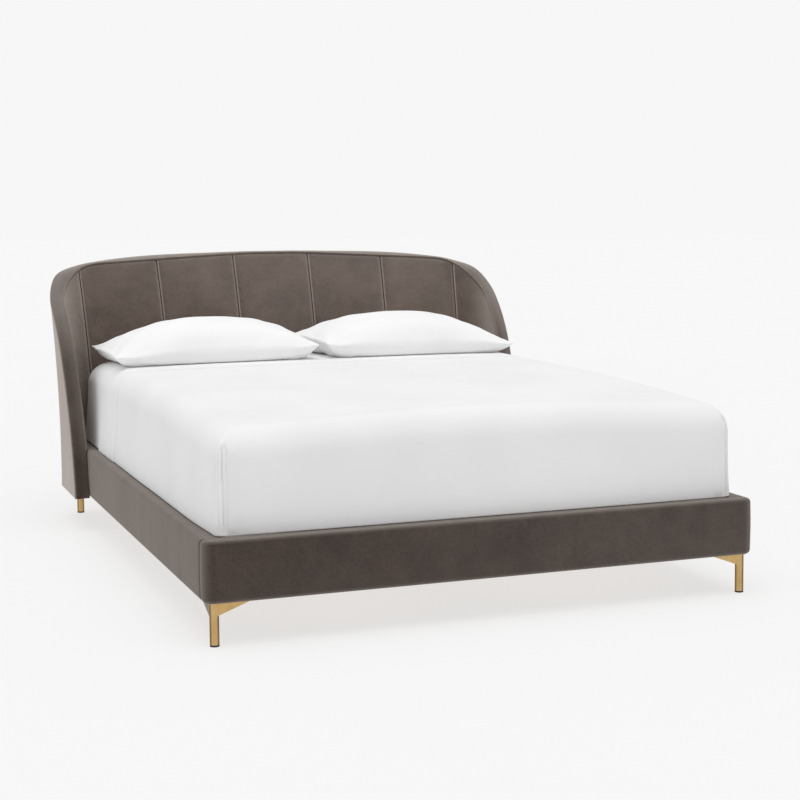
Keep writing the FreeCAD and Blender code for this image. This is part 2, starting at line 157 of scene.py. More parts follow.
# the look's pale colour is a painted sheen, mixed in by the grazing and edge shares as the surface turns from
# view; the seam and ridge marks paint shade into the seams and a highlight along the welt
velvetLook = {
    "deep": (0.052, 0.0375, 0.0305), "worn": (0.066, 0.0495, 0.0415), "sheenPale": (0.84, 0.765, 0.705),
    "slant": 0.22, "slantPower": 0.8, "edge": 0.30, "edgePower": 14.0, "streaks": (0.80, 1.20),
    "grain": (20, 20, 2), "napScale": 2.4, "pileScale": 1400.0, "handMarks": 9.0, "tuftMarks": 150.0,
    "mottle": 0.45, "ridge": 0.24, "seamShade": 0.85, "seamShadeColour": (0.006, 0.005, 0.004), "seamShadeShare": 0.3,
    "sheen": 0.05, "sheenTint": (1.0, 0.88, 0.80, 1), "roughness": (0.72, 0.95), "bump": 0.25,
}


def makeVelvet(name, look, lift=1.0, **changes):
    # pile, brushed in uneven patches, with a painted sheen: the colour goes from its base to a pale sheen colour
    # as the surface turns from view, by grazing share * facing^power + edge share * facing^higher power
    look = {**look, **changes}
    material, tree, shader = newMaterial(name)

    def times(first, second):
        # first * second
        return joined(tree, "MULTIPLY", first, second)

    def plus(first, second):
        # first + second
        return joined(tree, "ADD", first, second)

    nap = noise(tree, objectSpace(tree, (1, 1, 0.6)), look["napScale"], 4.0, 0.55)
    streak = noise(tree, objectSpace(tree, look["grain"]), 1.0, 4.0, 0.65)
    pile = noise(tree, objectSpace(tree), look["pileScale"], 2.0, 0.5)
    # lift multiplies the base colours: the lit copies of this velvet are painted lighter with it
    deep, worn = (tuple(part * lift for part in look[key]) for key in ("deep", "worn"))
    base = ramp(tree, plus(times(nap, 0.8), times(streak, 0.2)), deep, worn, 0.35, 0.65)
    # hand marks in the pile, and the fine grain of the tufts
    hand = noise(tree, objectSpace(tree), look["handMarks"], 5.0, 0.7)
    tufts = noise(tree, objectSpace(tree, (1, 1, 1.8)), look["tuftMarks"], 3.0, 0.7)
    darker, lighter = (1 - look["mottle"],) * 3, (1 + look["mottle"],) * 3
    marks = ramp(tree, times(plus(hand, tufts), 0.5), darker, lighter, 0.3, 0.7)
    base = mixed(tree, 1.0, base, marks, "MULTIPLY")
    # painted shade: the seam mark darkens the colour and takes away sheen in the seams' grooves, where shade
    # falls
    seamShade = addNode(tree, "ShaderNodeAttribute", attribute_name="seamShade").outputs["Fac"]
    base = mixed(tree, times(seamShade, look["seamShade"]), base, look["seamShadeColour"])
    # painted sheen: facing lightens the colour towards the pale sheen colour, standing in for the light the pile
    # catches at grazing angles
    facing = addNode(tree, "ShaderNodeLayerWeight", Blend=0.5).outputs["Facing"]
    slant = times(joined(tree, "POWER", facing, look["slantPower"]), spanned(tree, streak, *look["streaks"]))
    # painted highlight: the edge share lightens the colour further where the surface turns nearly edge-on
    edge = times(joined(tree, "POWER", facing, look["edgePower"]), spanned(tree, nap, 0.75, 1.25))
    # painted highlight: the ridge mark lightens the colour along the welt's crest
    ridge = addNode(tree, "ShaderNodeAttribute", attribute_name="ridge").outputs["Fac"]
    share = plus(plus(times(slant, look["slant"]), times(edge, look["edge"])), times(ridge, look["ridge"]))
    share = joined(tree, "SUBTRACT", share, times(seamShade, look["seamShadeShare"]))
    share = joined(tree, "MAXIMUM", joined(tree, "MINIMUM", share, 1.0), 0.0)
    tree.links.new(mixed(tree, share, base, look["sheenPale"]), shader.inputs["Base Color"])
    tree.links.new(spanned(tree, pile, *look["roughness"]), shader.inputs["Roughness"])
    shader.inputs["Sheen Weight"].default_value = look["sheen"]
    shader.inputs["Sheen Roughness"].default_value = 0.45
    shader.inputs["Sheen Tint"].default_value = look["sheenTint"]
    shader.inputs["Specular IOR Level"].default_value = 0.08
    bumped(tree, shader, plus(pile, times(streak, 0.6)), look["bump"], 0.0006)
    return material


cottonLook = {
    "clean": (0.90, 0.90, 0.90), "soft": (0.868, 0.869, 0.872), "foldShade": 0.30, "foldShadeColour": (0.47, 0.44, 0.425),
    "cloud": 3.0, "slub": (900, 60, 900), "slubAcross": (60, 900, 60), "roughness": (0.7, 0.95),
    "sheen": 0.08, "bump": 0.12,
}


def makeCotton(name, look, **changes):
    # plain weave: two sets of fine threads crossing, with faint slubs
    look = {**look, **changes}
    material, tree, shader = newMaterial(name)
    cloud = noise(tree, objectSpace(tree), look["cloud"], 3.0, 0.5)
    slub = noise(tree, objectSpace(tree, look["slub"]), 1.0, 2.0, 0.5)
    slubAcross = noise(tree, objectSpace(tree, look["slubAcross"]), 1.0, 2.0, 0.5)
    threads = joined(tree, "ADD", slub, slubAcross)
    # painted shade: the fold mark darkens the colour in the folded corner's creases and along the hem and
    # turn-down lines, where the stitching is partly its own colour
    foldShade = addNode(tree, "ShaderNodeAttribute", attribute_name="foldShade").outputs["Fac"]
    cloth = ramp(tree, cloud, look["soft"], look["clean"], 0.35, 0.6)
    cloth = mixed(tree, joined(tree, "MULTIPLY", foldShade, look["foldShade"]), cloth, look["foldShadeColour"])
    tree.links.new(cloth, shader.inputs["Base Color"])
    tree.links.new(spanned(tree, threads, *look["roughness"]), shader.inputs["Roughness"])
    shader.inputs["Specular IOR Level"].default_value = 0.2
    shader.inputs["Sheen Weight"].default_value = look["sheen"]
    bumped(tree, shader, threads, look["bump"], 0.0004)
    return material


# the round colour is the painted shade on the tube's sides
brassLook = {
    "deep": (0.52, 0.34, 0.125), "bright": (0.66, 0.455, 0.20), "round": (0.30, 0.27, 0.24),
    "edgeShadeFrom": 0.16, "edgeShadeTo": 0.42, "brushing": (30, 30, 1400), "roughness": (0.26, 0.42), "bump": 0.06,
}


def makeBrass(name, look):
    # brushed round the tube and patchy with tarnish; painted shade darkens it where the surface turns away from
    # view, for the darker surroundings it reflects
    material, tree, shader = newMaterial(name)
    brushed = noise(tree, objectSpace(tree, look["brushing"]), 1.0, 3.0, 0.6)
    tarnish = noise(tree, objectSpace(tree), 18.0, 3.0, 0.5)
    colour = ramp(tree, tarnish, look["deep"], look["bright"])
    facing = addNode(tree, "ShaderNodeLayerWeight", Blend=0.5).outputs["Facing"]
    paintedEdgeShade = ramp(tree, facing, (1.0, 1.0, 1.0), look["round"], look["edgeShadeFrom"], look["edgeShadeTo"])
    tree.links.new(mixed(tree, 1.0, colour, paintedEdgeShade, "MULTIPLY"), shader.inputs["Base Color"])
    tree.links.new(spanned(tree, brushed, *look["roughness"]), shader.inputs["Roughness"])
    shader.inputs["Metallic"].default_value = 1.0
    bumped(tree, shader, brushed, look["bump"], 0.0002)
    return material


timberLook = {
    "light": (0.66, 0.47, 0.28), "dark": (0.50, 0.33, 0.18), "rings": 9.0, "pores": 260, "stretch": 0.08,
}


def makeTimber(name, look, along, **changes):
    # growth rings and pores, stretched along the board
    look = {**look, **changes}
    material, tree, shader = newMaterial(name)
    wave = addNode(tree, "ShaderNodeTexWave", wave_type="RINGS", Scale=look["rings"], Distortion=5.0)
    wave.inputs["Detail"].default_value = 3.0
    wave.inputs["Detail Scale"].default_value = 1.6
    scale = [1.0, 1.0, 1.0]
    scale[along] = look["stretch"]
    tree.links.new(objectSpace(tree, scale), wave.inputs["Vector"])
    pores = noise(tree, objectSpace(tree, [part * look["pores"] for part in scale]), 1.0, 2.0, 0.6)
    rings = joined(tree, "MULTIPLY", wave.outputs["Fac"], 0.6)
    grain = joined(tree, "ADD", rings, joined(tree, "MULTIPLY", pores, 0.4))
    tree.links.new(ramp(tree, grain, look["dark"], look["light"], 0.2, 0.75), shader.inputs["Base Color"])
    tree.links.new(spanned(tree, grain, 0.5, 0.75), shader.inputs["Roughness"])
    bumped(tree, shader, grain, 0.15, 0.0006)
    return material


def makeCoated(name, low, high, roughness, metallic, scale):
    # moulded, painted or plated: even colour, a fine skin and faint handling marks
    material, tree, shader = newMaterial(name)
    skin = noise(tree, objectSpace(tree), scale, 2.0, 0.5)
    marks = noise(tree, objectSpace(tree), 25.0, 4.0, 0.6)
    tree.links.new(ramp(tree, marks, low, high), shader.inputs["Base Color"])
    tree.links.new(spanned(tree, marks, *roughness), shader.inputs["Roughness"])
    shader.inputs["Metallic"].default_value = metallic
    bumped(tree, shader, skin, 0.1, 0.0003)
    return material


def makeWebbing(name):
    # ribs across the strap times fine fibre
    material, tree, shader = newMaterial(name)
    ribs = addNode(tree, "ShaderNodeTexWave", Scale=120.0, Distortion=0.5)
    tree.links.new(objectSpace(tree), ribs.inputs["Vector"])
    fibre = noise(tree, objectSpace(tree), 600.0)
    weave = joined(tree, "MULTIPLY", ribs.outputs["Fac"], fibre)
    tree.links.new(ramp(tree, weave, (0.28, 0.26, 0.24), (0.5, 0.47, 0.43)), shader.inputs["Base Color"])
    tree.links.new(spanned(tree, fibre, 0.7, 0.9), shader.inputs["Roughness"])
    bumped(tree, shader, weave, 0.4, 0.0008)
    return material


# one velvet in lit copies: the pads, outer cover, band and piping get brighter base colours and more sheen as
# painted light for the light they catch; the outer cover's lighter tone also stands for its smoother back fabric
velvet = makeVelvet("velvet", velvetLook)
padVelvetLitCopy = makeVelvet("padVelvetLitCopy", velvetLook, 1.95, grain=(14, 14, 40), napScale=3.2, slant=0.52)
outerVelvetLitCopy = makeVelvet("outerVelvetLitCopy", velvetLook, 1.1, edge=1.45, edgePower=9.0)
bandVelvetLitCopy = makeVelvet("bandVelvetLitCopy", velvetLook, 1.15, slant=0.42)
pipingVelvetLitCopy = makeVelvet("pipingVelvetLitCopy", velvetLook, 2.0, slant=0.35)
cotton = makeCotton("cotton", cottonLook)
# a whiter cotton for the pillowcases: partly their own whiter colour, partly painted light that lifts the shade
# on the pillows' upright fronts
pillowCotton = makeCotton("pillowCotton", cottonLook, clean=(0.965, 0.965, 0.965), soft=(0.93, 0.93, 0.935))
ticking = makeCotton("ticking", cottonLook, clean=(0.82, 0.81, 0.79), soft=(0.76, 0.75, 0.73))
brass = makeBrass("brushedBrass", brassLook)
pineX = makeTimber("pineAcross", timberLook, 0)
pineY = makeTimber("pineAlong", timberLook, 1)
pineZ = makeTimber("pineUpright", timberLook, 2)
plywood = makeTimber("plywood", timberLook, 2, light=(0.62, 0.46, 0.30), dark=(0.52, 0.37, 0.22))
blackPlastic = makeCoated("blackPlastic", (0.006, 0.006, 0.006), (0.012, 0.012, 0.012), (0.45, 0.65), 0.0, 900.0)
blackSteel = makeCoated("blackSteel", (0.02, 0.02, 0.021), (0.032, 0.032, 0.033), (0.35, 0.55), 0.0, 500.0)
zincSteel = makeCoated("zincSteel", (0.55, 0.56, 0.58), (0.68, 0.69, 0.7), (0.28, 0.45), 1.0, 300.0)
webbing = makeWebbing("webbing")

# finishes of the bare nodes, by the ending of the node's name
nodeLooks = {
    "front_leg": brass, "rear_leg": brass, "glides": blackPlastic, "bracket": blackSteel, "brackets": blackSteel,
    "centre_beam": blackSteel, "centre_legs": blackSteel, "screws": zincSteel, "bolts": zincSteel,
    "nuts": zincSteel, "straps": webbing, "slats": pineX, "foot_rail_board": pineX, "rail_board": pineY,
    "ledger": pineY, "core": plywood, "lower_rail": pineX, "top_rail": pineX, "ribs": pineZ, "wing_block": pineY,
}
for name, node in nodes.items():
    fitting = [finish for ending, finish in nodeLooks.items() if name.endswith(ending)]
    if fitting:
        node.data.materials.clear()
        node.data.materials.append(fitting[0])
print("materials made")


def gridFaces(rows, cols, wrapRows=False, wrapCols=False):
    # each quad joins (row, col) to its neighbours one row and one column on
    r = np.arange(rows if wrapRows else rows - 1)[:, None]
    c = np.arange(cols if wrapCols else cols - 1)[None, :]
    r2, c2 = (r + 1) % rows, (c + 1) % cols
    quads = np.stack([r * cols + c, r * cols + c2, r2 * cols + c2, r2 * cols + c], axis=-1)
    return quads.reshape(-1, 4)


def slabFaces(rows, cols):
    # front grid, back grid turned over, and a strip of quads round the rim
    front = gridFaces(rows, cols)
    back = front[:, ::-1] + rows * cols
    top = np.arange(cols) + (rows - 1) * cols
    rim = np.concatenate([
        np.arange(cols), np.arange(1, rows) * cols + cols - 1, top[::-1][1:],
        (np.arange(rows - 2, 0, -1)) * cols,
    ])
    after = np.roll(rim, -1)
    side = np.stack([after, rim, rim + rows * cols, after + rows * cols], axis=-1)
    return np.concatenate([front, back, side])


def addPiece(name, points, quads, material, body, closed=True, caps=(), marks=None, sharp=None):
    # quads go in as whole arrays; doubles are merged, and a closed piece's faces turned outwards
    points = np.asarray(points, dtype=np.float64).reshape(-1, 3)
    mesh = bpy.data.meshes.new(name)
    mesh.vertices.add(len(points))
    mesh.vertices.foreach_set("co", points.ravel())
    mesh.loops.add(quads.size)
    mesh.loops.foreach_set("vertex_index", quads.astype(np.int32).ravel())
    mesh.polygons.add(len(quads))
    mesh.polygons.foreach_set("loop_start", np.arange(0, quads.size, 4, dtype=np.int32))
    mesh.update(calc_edges=True)
    mesh.validate()
    for mark, values in (marks or {}).items():
        layer = mesh.attributes.new(mark, "FLOAT", "POINT")
        layer.data.foreach_set("value", np.ravel(values).astype(np.float32))
    work = bmesh.new()
    work.from_mesh(mesh)
    work.verts.ensure_lookup_table()
    for cap in caps:
        work.faces.new([work.verts[int(i)] for i in cap])
    bmesh.ops.remove_doubles(work, verts=work.verts, dist=2e-5)
    bmesh.ops.dissolve_degenerate(work, edges=work.edges, dist=1e-6)
    if closed:
        bmesh.ops.recalc_face_normals(work, faces=work.faces)
    work.to_mesh(mesh)
    work.free()
    mesh.polygons.foreach_set("use_smooth", np.ones(len(mesh.polygons), dtype=bool))
    if sharp:
        mesh.set_sharp_from_angle(angle=math.radians(sharp))
    mesh.materials.append(material)
    piece = bpy.data.objects.new(name, mesh)
    bpy.context.scene.collection.objects.link(piece)
    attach(piece, body)
    return piece


def resampled(path, count):
    # points at equal steps of length along a path
    path = np.asarray(path)
    steps = np.linalg.norm(np.diff(path, axis=0), axis=1)
    run = np.concatenate([[0], np.cumsum(steps)])
    at = np.linspace(0, run[-1], count)
    return np.stack([np.interp(at, run, path[:, k]) for k in range(path.shape[1])], axis=1)


def smoothed(path, passes):
    # each point moves half way to the mean of its neighbours; the ends stay
    path = path.copy()
    for _ in range(passes):
        path[1:-1] = path[1:-1] * 0.5 + (path[:-2] + path[2:]) * 0.25
    return path


def ripple(a, b, seed, count=7, low=3.0, high=12.0):
    # the mean of slanted sine waves sin(a fa + b fb + phase), with fa and fb drawn between low and high
    chance = np.random.RandomState(seed)
    total = 0
    for _ in range(count):
        fa, fb = chance.uniform(low, high, 2) * chance.choice([-1, 1], 2)
        total = total + np.sin(a * fa + b * fb + chance.uniform(0, 6.3))
    return total / count


railLow, railHigh = (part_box("left_rail_cover")[k][2] for k in (0, 1))
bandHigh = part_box("headboard_edge_band")[1]
# all in metres; low, top and rear come from the frame
headboard = {
    "low": railLow, "top": bandHigh[2], "half": 0.877, "flare": 0.030, "sweep": 0.150, "bow": 14.0,
    "cornerLow": 0.110, "cornerHigh": 0.200, "archDrop": 0.0805, "archHalf": 0.907, "wall": 0.051,
    "rear": cadBox[1][1], "depth": 0.595, "lining": (0.051, 0.097, 0.008, 0.049), "panelLow": 0.230,
    "wingLow": 0.290, "panels": 5, "panelShare": 0.9, "edgeCount": 260,
}
headboard["height"] = headboard["top"] - headboard["low"]
headboard["backFoot"] = headboard["rear"] - headboard["sweep"]
headboard["front"] = headboard["rear"] - headboard["depth"]
# a skin is (side, back, side taper, back taper): how far it lies inside the outer one, less taper * height share
outerSkin = (0.0, 0.0, 0.0, 0.0)


def spread(z):
    # half width of the outer skin: flares with the square of the height
    t = (z - headboard["low"]) / headboard["height"]
    return headboard["half"] + headboard["flare"] * t * np.abs(t)


def planShape(z, skin):
    # plan outline at height z: straight sides, round corners and a shallow bow across the back
    side, back, sideTaper, backTaper = skin
    t = (z - headboard["low"]) / headboard["height"]
    side = side - sideTaper * t
    back = back - backTaper * t
    half = spread(z) - side
    low, high = headboard["cornerLow"], headboard["cornerHigh"]
    corner = low + (high - low) * t - (side + back) / 2
    bow = headboard["bow"] - back
    bowY = headboard["backFoot"] + headboard["sweep"] * t * t - back - bow
    cornerX = half - corner
    cornerY = bowY + np.sqrt((bow - corner) ** 2 - cornerX**2)
    turn = np.arctan2(cornerY - bowY, cornerX)
    bowRun = bow * (math.pi / 2 - turn)
    return half, corner, bow, bowY, cornerX, cornerY, turn, bowRun


def onSkin(q, z, skin):
    # a point q metres along the plan outline from the middle of the back: first on the bow, then on the
    # corner's arc, then on the straight side
    half, corner, bow, bowY, cornerX, cornerY, turn, bowRun = planShape(z, skin)
    a = np.abs(q)
    cornerRun = corner * turn
    angle = turn - (np.clip(a, bowRun, bowRun + cornerRun) - bowRun) / corner
    bowAngle = np.clip(a, 0, bowRun) / bow
    onBow = a < bowRun
    onSide = a > bowRun + cornerRun
    x = np.where(onBow, bow * np.sin(bowAngle), np.where(onSide, half, cornerX + corner * np.cos(angle)))
    y = np.where(onBow, bowY + bow * np.cos(bowAngle), cornerY + corner * np.sin(angle))
    y = np.where(onSide, cornerY - (a - bowRun - cornerRun), y)
    return np.stack([x * np.sign(q + 1e-12), y, z + 0 * q], axis=-1)


def alongFromX(x, z, skin):
    # length along the outline at x: bow * asin(x / bow), then the corner's arc by its angle
    half, corner, bow, bowY, cornerX, cornerY, turn, bowRun = planShape(z, skin)
    touch = bow * np.cos(turn)
    angle = np.arccos(np.clip((x - cornerX) / corner, -1, 1))
    return np.where(x < touch, bow * np.arcsin(np.clip(x / bow, -1, 1)), bowRun + corner * (turn - angle))


def alongFromY(y, z, skin):
    # length along the outline at y: the corner's arc by its angle, then what lies in front of it
    half, corner, bow, bowY, cornerX, cornerY, turn, bowRun = planShape(z, skin)
    angle = np.arcsin(np.clip((y - cornerY) / corner, -1, np.sin(turn)))
    return np.where(y < cornerY, bowRun + corner * turn + cornerY - y, bowRun + corner * (turn - angle))


def archHeight(x):
    # top line: falls from the middle with the fourth power of x
    return headboard["top"] - headboard["archDrop"] * (np.abs(x) / headboard["archHalf"]) ** 4


def sweepCurve():
    # side view of the wing's front edge: a cubic through its turning points, then smoothed; each point is
    # (share of the depth behind the front, share of the height)
    shares = np.array([
        (-0.03, -0.2), (0, 0), (0.09, 0.24), (0.176, 0.39), (0.303, 0.582), (0.42, 0.696), (0.546, 0.778),
        (0.689, 0.853), (0.807, 0.922), (0.908, 0.992), (1.025, 1.08), (1.14, 1.17),
    ])
    p = np.stack([
        headboard["front"] + shares[:, 0] * headboard["depth"],
        headboard["low"] + shares[:, 1] * headboard["height"],
    ], axis=1)
    t = np.linspace(0, 1, 40, endpoint=False)[None, :, None]
    a, b, c, d = (p[k:len(p) - 3 + k, None, :] for k in range(4))
    curve = 0.5 * (2 * b + (c - a) * t + (2 * a - 5 * b + 4 * c - d) * t**2 + (3 * b - a - 3 * c + d) * t**3)
    return smoothed(resampled(curve.reshape(-1, 2), 500), 400)


def openingEdge(skin, count):
    # right half of the headboard's edge, as (along, height), from the middle of the top to the wing's foot:
    # the top line until the side view's curve cuts it, then that curve
    x = np.linspace(0, headboard["archHalf"], 900)
    z = archHeight(x)
    for _ in range(3):
        half = planShape(z, skin)[0]
        x = np.minimum(x, half - 1e-5)
        z = archHeight(x)
    arch = np.stack([alongFromX(x, z, skin), z], axis=1)
    curve = sweepCurve()
    place = onSkin(arch[:, 0], arch[:, 1], skin)
    arch = arch[place[:, 1] > np.interp(place[:, 2], curve[:, 1], curve[:, 0])]
    z = np.linspace(headboard["top"], headboard["low"], 900)
    y = np.interp(z, curve[:, 1], curve[:, 0])
    side = np.stack([alongFromY(y, z, skin), z], axis=1)
    x = onSkin(side[:, 0], z, skin)[:, 0]
    side = side[z < archHeight(x)]
    return smoothed(resampled(np.concatenate([arch, side]), count), 60)


def insetEdge(edge, inset):
    # the edge moved into the surface, square to itself: edge + normal * inset
    along = np.gradient(edge, axis=0)
    along /= np.linalg.norm(along, axis=1, keepdims=True)
    moved = edge + np.stack([along[:, 1], -along[:, 0]], axis=1) * inset
    moved[0, 0] = 0
    return moved


def bothSides(edge):
    # the right half and its mirror in one run
    left = edge[::-1][:-1] * np.array([-1, 1])
    return np.concatenate([left, edge])


lining = headboard["lining"]
outerEdge = openingEdge(outerSkin, headboard["edgeCount"])
innerEdge = openingEdge(lining, headboard["edgeCount"])


def skinAt(flat, skin):
    # (along, height) points placed on a skin
    return onSkin(flat[..., 0], flat[..., 1], skin)


def movedOut(skin, amount):
    # the skin moved outwards by the amount, or inwards where it is negative
    return (skin[0] - amount, skin[1] - amount, skin[2], skin[3])


# the seam shade width sets the line of painted shade along each seam; the welt both rises and carries a painted
# highlight
padLook = {
    "sink": 0.0055, "rise": 0.0068, "crown": 0.003, "seamSoft": 0.0042, "endSoft": 0.003, "thick": 0.018,
    "tuck": 0.0055, "seamShade": 0.0017, "welt": 0.0046, "weltWidth": 0.0020, "weltRise": 0.0012,
    "pucker": 0.0016, "puckerReach": 0.022, "puckerClear": 0.004, "drift": 0.0009, "fill": 0.75,
    "crowd": 0.9, "panelGrid": (130, 84), "wingGrid": (120, 90), "wingRun": 0.62,
}


def crowded(count):
    # 0 to 1 in steps that shorten towards both ends: (1 - cos(pi t)) / 2, with a little of t
    t = np.linspace(0, 1, count)
    return padLook["crowd"] * (0.5 - 0.5 * np.cos(t * math.pi)) + (1 - padLook["crowd"]) * t


def paddedPanel(name, flat, gapLow, gapHigh, gapEnds, gapFoot, weltGap, node):
    # pad face: rises from its seams as 1 - exp(-distance / softness), plus a slow crown, small puckers
    # and a narrow welt
    rows, cols = flat.shape[:2]
    soft, endSoft = padLook["seamSoft"], padLook["endSoft"]
    climb = (1 - np.exp(-gapLow / soft)) * (1 - np.exp(-gapHigh / soft))
    climb = climb * (1 - np.exp(-gapEnds / endSoft)) * (1 - np.exp(-gapFoot / soft))
    # painted shade: a dark line of colour along each seam
    seamShade = np.exp(-(gapLow / padLook["seamShade"]) ** 2) + np.exp(-(gapHigh / padLook["seamShade"]) ** 2)
    welt = np.exp(-((weltGap - padLook["welt"]) / padLook["weltWidth"]) ** 2)
    u = np.linspace(0, 1, cols)[None, :]
    v = np.linspace(0, 1, rows)[:, None]
    crown = np.sin(math.pi * u) * np.sin(math.pi * v) ** 0.5 * padLook["crown"]
    drift = ripple(flat[..., 0], flat[..., 1], 5, 6, 4.0, 11.0) * padLook["drift"]
    nearSeam = np.exp(-gapLow / padLook["puckerReach"]) + np.exp(-gapHigh / padLook["puckerReach"])
    pucker = ripple(flat[..., 1], 3.0 * flat[..., 0], 61, 9, 60.0, 260.0) * nearSeam * padLook["pucker"]
    clear = padLook["puckerClear"]
    pucker = pucker * (1 - np.exp(-gapLow / clear)) * (1 - np.exp(-gapHigh / clear))
    lift = (padLook["rise"] + crown + pucker + drift) * climb - padLook["sink"] + welt * padLook["weltRise"]
    face = skinAt(flat, lining)
    shift = 0.01  # a small move inwards gives the way the pad faces
    way = (skinAt(flat, movedOut(lining, -shift)) - face) / shift
    front = face + way * lift[..., None]
    back = face - way * padLook["thick"]
    points = np.concatenate([front.reshape(-1, 3), back.reshape(-1, 3)])
    # marks for the material: painted shade along the seams and a painted highlight on the welt
    marks = {"seamShade": np.tile(np.clip(seamShade, 0, 1).ravel(), 2), "ridge": np.tile(welt.ravel(), 2)}
    piece = addPiece(name, points, slabFaces(rows, cols), padVelvetLitCopy, "frame", marks=marks)
    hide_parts(node)
    return piece


def seamAlong(share, z):
    # a seam keeps the same share of the lining's half width at every height
    x = np.abs(share) * (spread(z) - headboard["wall"])
    return alongFromX(x, z, lining) * np.sign(share)


seams = headboard["panelShare"] * (2 * np.arange(headboard["panels"] + 1) / headboard["panels"] - 1)
tuckedEdge = insetEdge(innerEdge, padLook["tuck"])
wholeEdge = bothSides(tuckedEdge)
topRows, topCols = padLook["panelGrid"]
for k in range(headboard["panels"]):
    # rows and columns crowd towards the seams
    share = seams[k] + (seams[k + 1] - seams[k]) * crowded(topCols)
    # each column ends on the tucked edge: its height and its place along the edge settle in a few rounds
    zTop = np.full(topCols, headboard["top"])
    for _ in range(6):
        zTop = np.interp(seamAlong(share, zTop), wholeEdge[:, 0], wholeEdge[:, 1])
    v = np.linspace(0, 1, topRows)[:, None] ** 0.8
    z = headboard["panelLow"] + (zTop[None, :] - headboard["panelLow"]) * v
    q = seamAlong(share[None, :] + 0 * z, z)
    gapLow, gapHigh = q - q[:, :1], q[:, -1:] - q
    paddedPanel("backPad%d" % (k + 1), np.stack([q, z], axis=-1), gapLow, gapHigh, zTop[None, :] - z,
                z - headboard["panelLow"], gapLow, "back_pad_%d" % (k + 1))

wingRows, wingCols = padLook["wingGrid"]
farGap = 1.0  # a distance at which a seam has no effect any more
for sign, side in ((-1, "left"), (1, "right")):
    zSeam = headboard["top"]
    for _ in range(8):
        zSeam = float(np.interp(seamAlong(seams[-1], np.array(zSeam)), tuckedEdge[:, 0], tuckedEdge[:, 1]))
    seamTop = float(seamAlong(seams[-1], np.array(zSeam)))
    keep = (tuckedEdge[:, 0] > seamTop) & (tuckedEdge[:, 1] > headboard["wingLow"])
    outer = np.concatenate([[(seamTop, zSeam)], tuckedEdge[keep]])
    footQ = np.interp(-headboard["wingLow"], -tuckedEdge[:, 1][keep][-30:], tuckedEdge[:, 0][keep][-30:])
    outer = resampled(np.concatenate([outer, [(footQ, headboard["wingLow"])]]), wingRows)[::-1]
    v = np.linspace(0, 1, wingRows)
    zRow = headboard["wingLow"] + (zSeam - headboard["wingLow"]) * v
    inner = np.stack([seamAlong(seams[-1] + 0 * zRow, zRow), zRow], axis=1)
    u = crowded(wingCols)[None, :, None]
    flat = inner[:, None, :] * (1 - u) + outer[:, None, :] * u
    width = np.linalg.norm(outer - inner, axis=1)[:, None]
    gapFoot = (v * padLook["wingRun"])[:, None] + 0 * flat[..., 0]
    gapLow, gapHigh = width * u[..., 0], width * (1 - u[..., 0])
    flat = flat * np.array([sign, 1])
    noSeam = farGap + 0 * gapLow
    weltGap = gapLow if sign > 0 else noSeam
    paddedPanel(side + "WingPad", flat, gapLow, noSeam, gapHigh, gapFoot, weltGap, side + "_wing_pad")
print("headboard pads made")

# outer cover: straight lines on the flattened skin from the foot to the band's seam, and a hem turned under
coverLook = {"seam": 0.0142, "footCrowd": 0.9, "hem": 0.02, "hemRound": 0.002, "hemDrop": 0.0006}
coverEdge = insetEdge(outerEdge, coverLook["seam"])
coverEdge = coverEdge[coverEdge[:, 1] >= headboard["low"] + 0.001]
coverEdge = resampled(coverEdge, 200)
coverEdge = bothSides(coverEdge)
footReach = coverEdge[-1, 0]
share = np.linspace(-1, 1, len(coverEdge))
footQ = np.sign(share) * np.abs(share) ** coverLook["footCrowd"] * footReach
footLine = np.stack([footQ, headboard["low"] + 0 * share], axis=1)
v = np.linspace(0, 1, 110)[:, None, None]
flat = footLine[None] * (1 - v) + coverEdge[None] * v
points = skinAt(flat, outerSkin)
hem = [skinAt(footLine, movedOut(outerSkin, -coverLook[depth])) - [0, 0, coverLook["hemDrop"]]
       for depth in ("hem", "hemRound")]
points = np.concatenate([hem, points])
coverFaces = gridFaces(*points.shape[:2])[:, ::-1]
cover = addPiece("headboardCover", points, coverFaces, outerVelvetLitCopy, "frame", closed=False)
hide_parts("headboard_cover")

# the band starts sunk behind the cover's edge; seamRows are (distance from the rim, depth under the cover)
bandLook = {
    "seamRows": ((0.0145, 0.0018), (0.0127, 0.0), (0.0125, -0.0002)), "outerRound": 0.011, "innerRound": 0.004,
    "crown": 0.0022, "reach": 0.0145, "behind": 0.004,
}


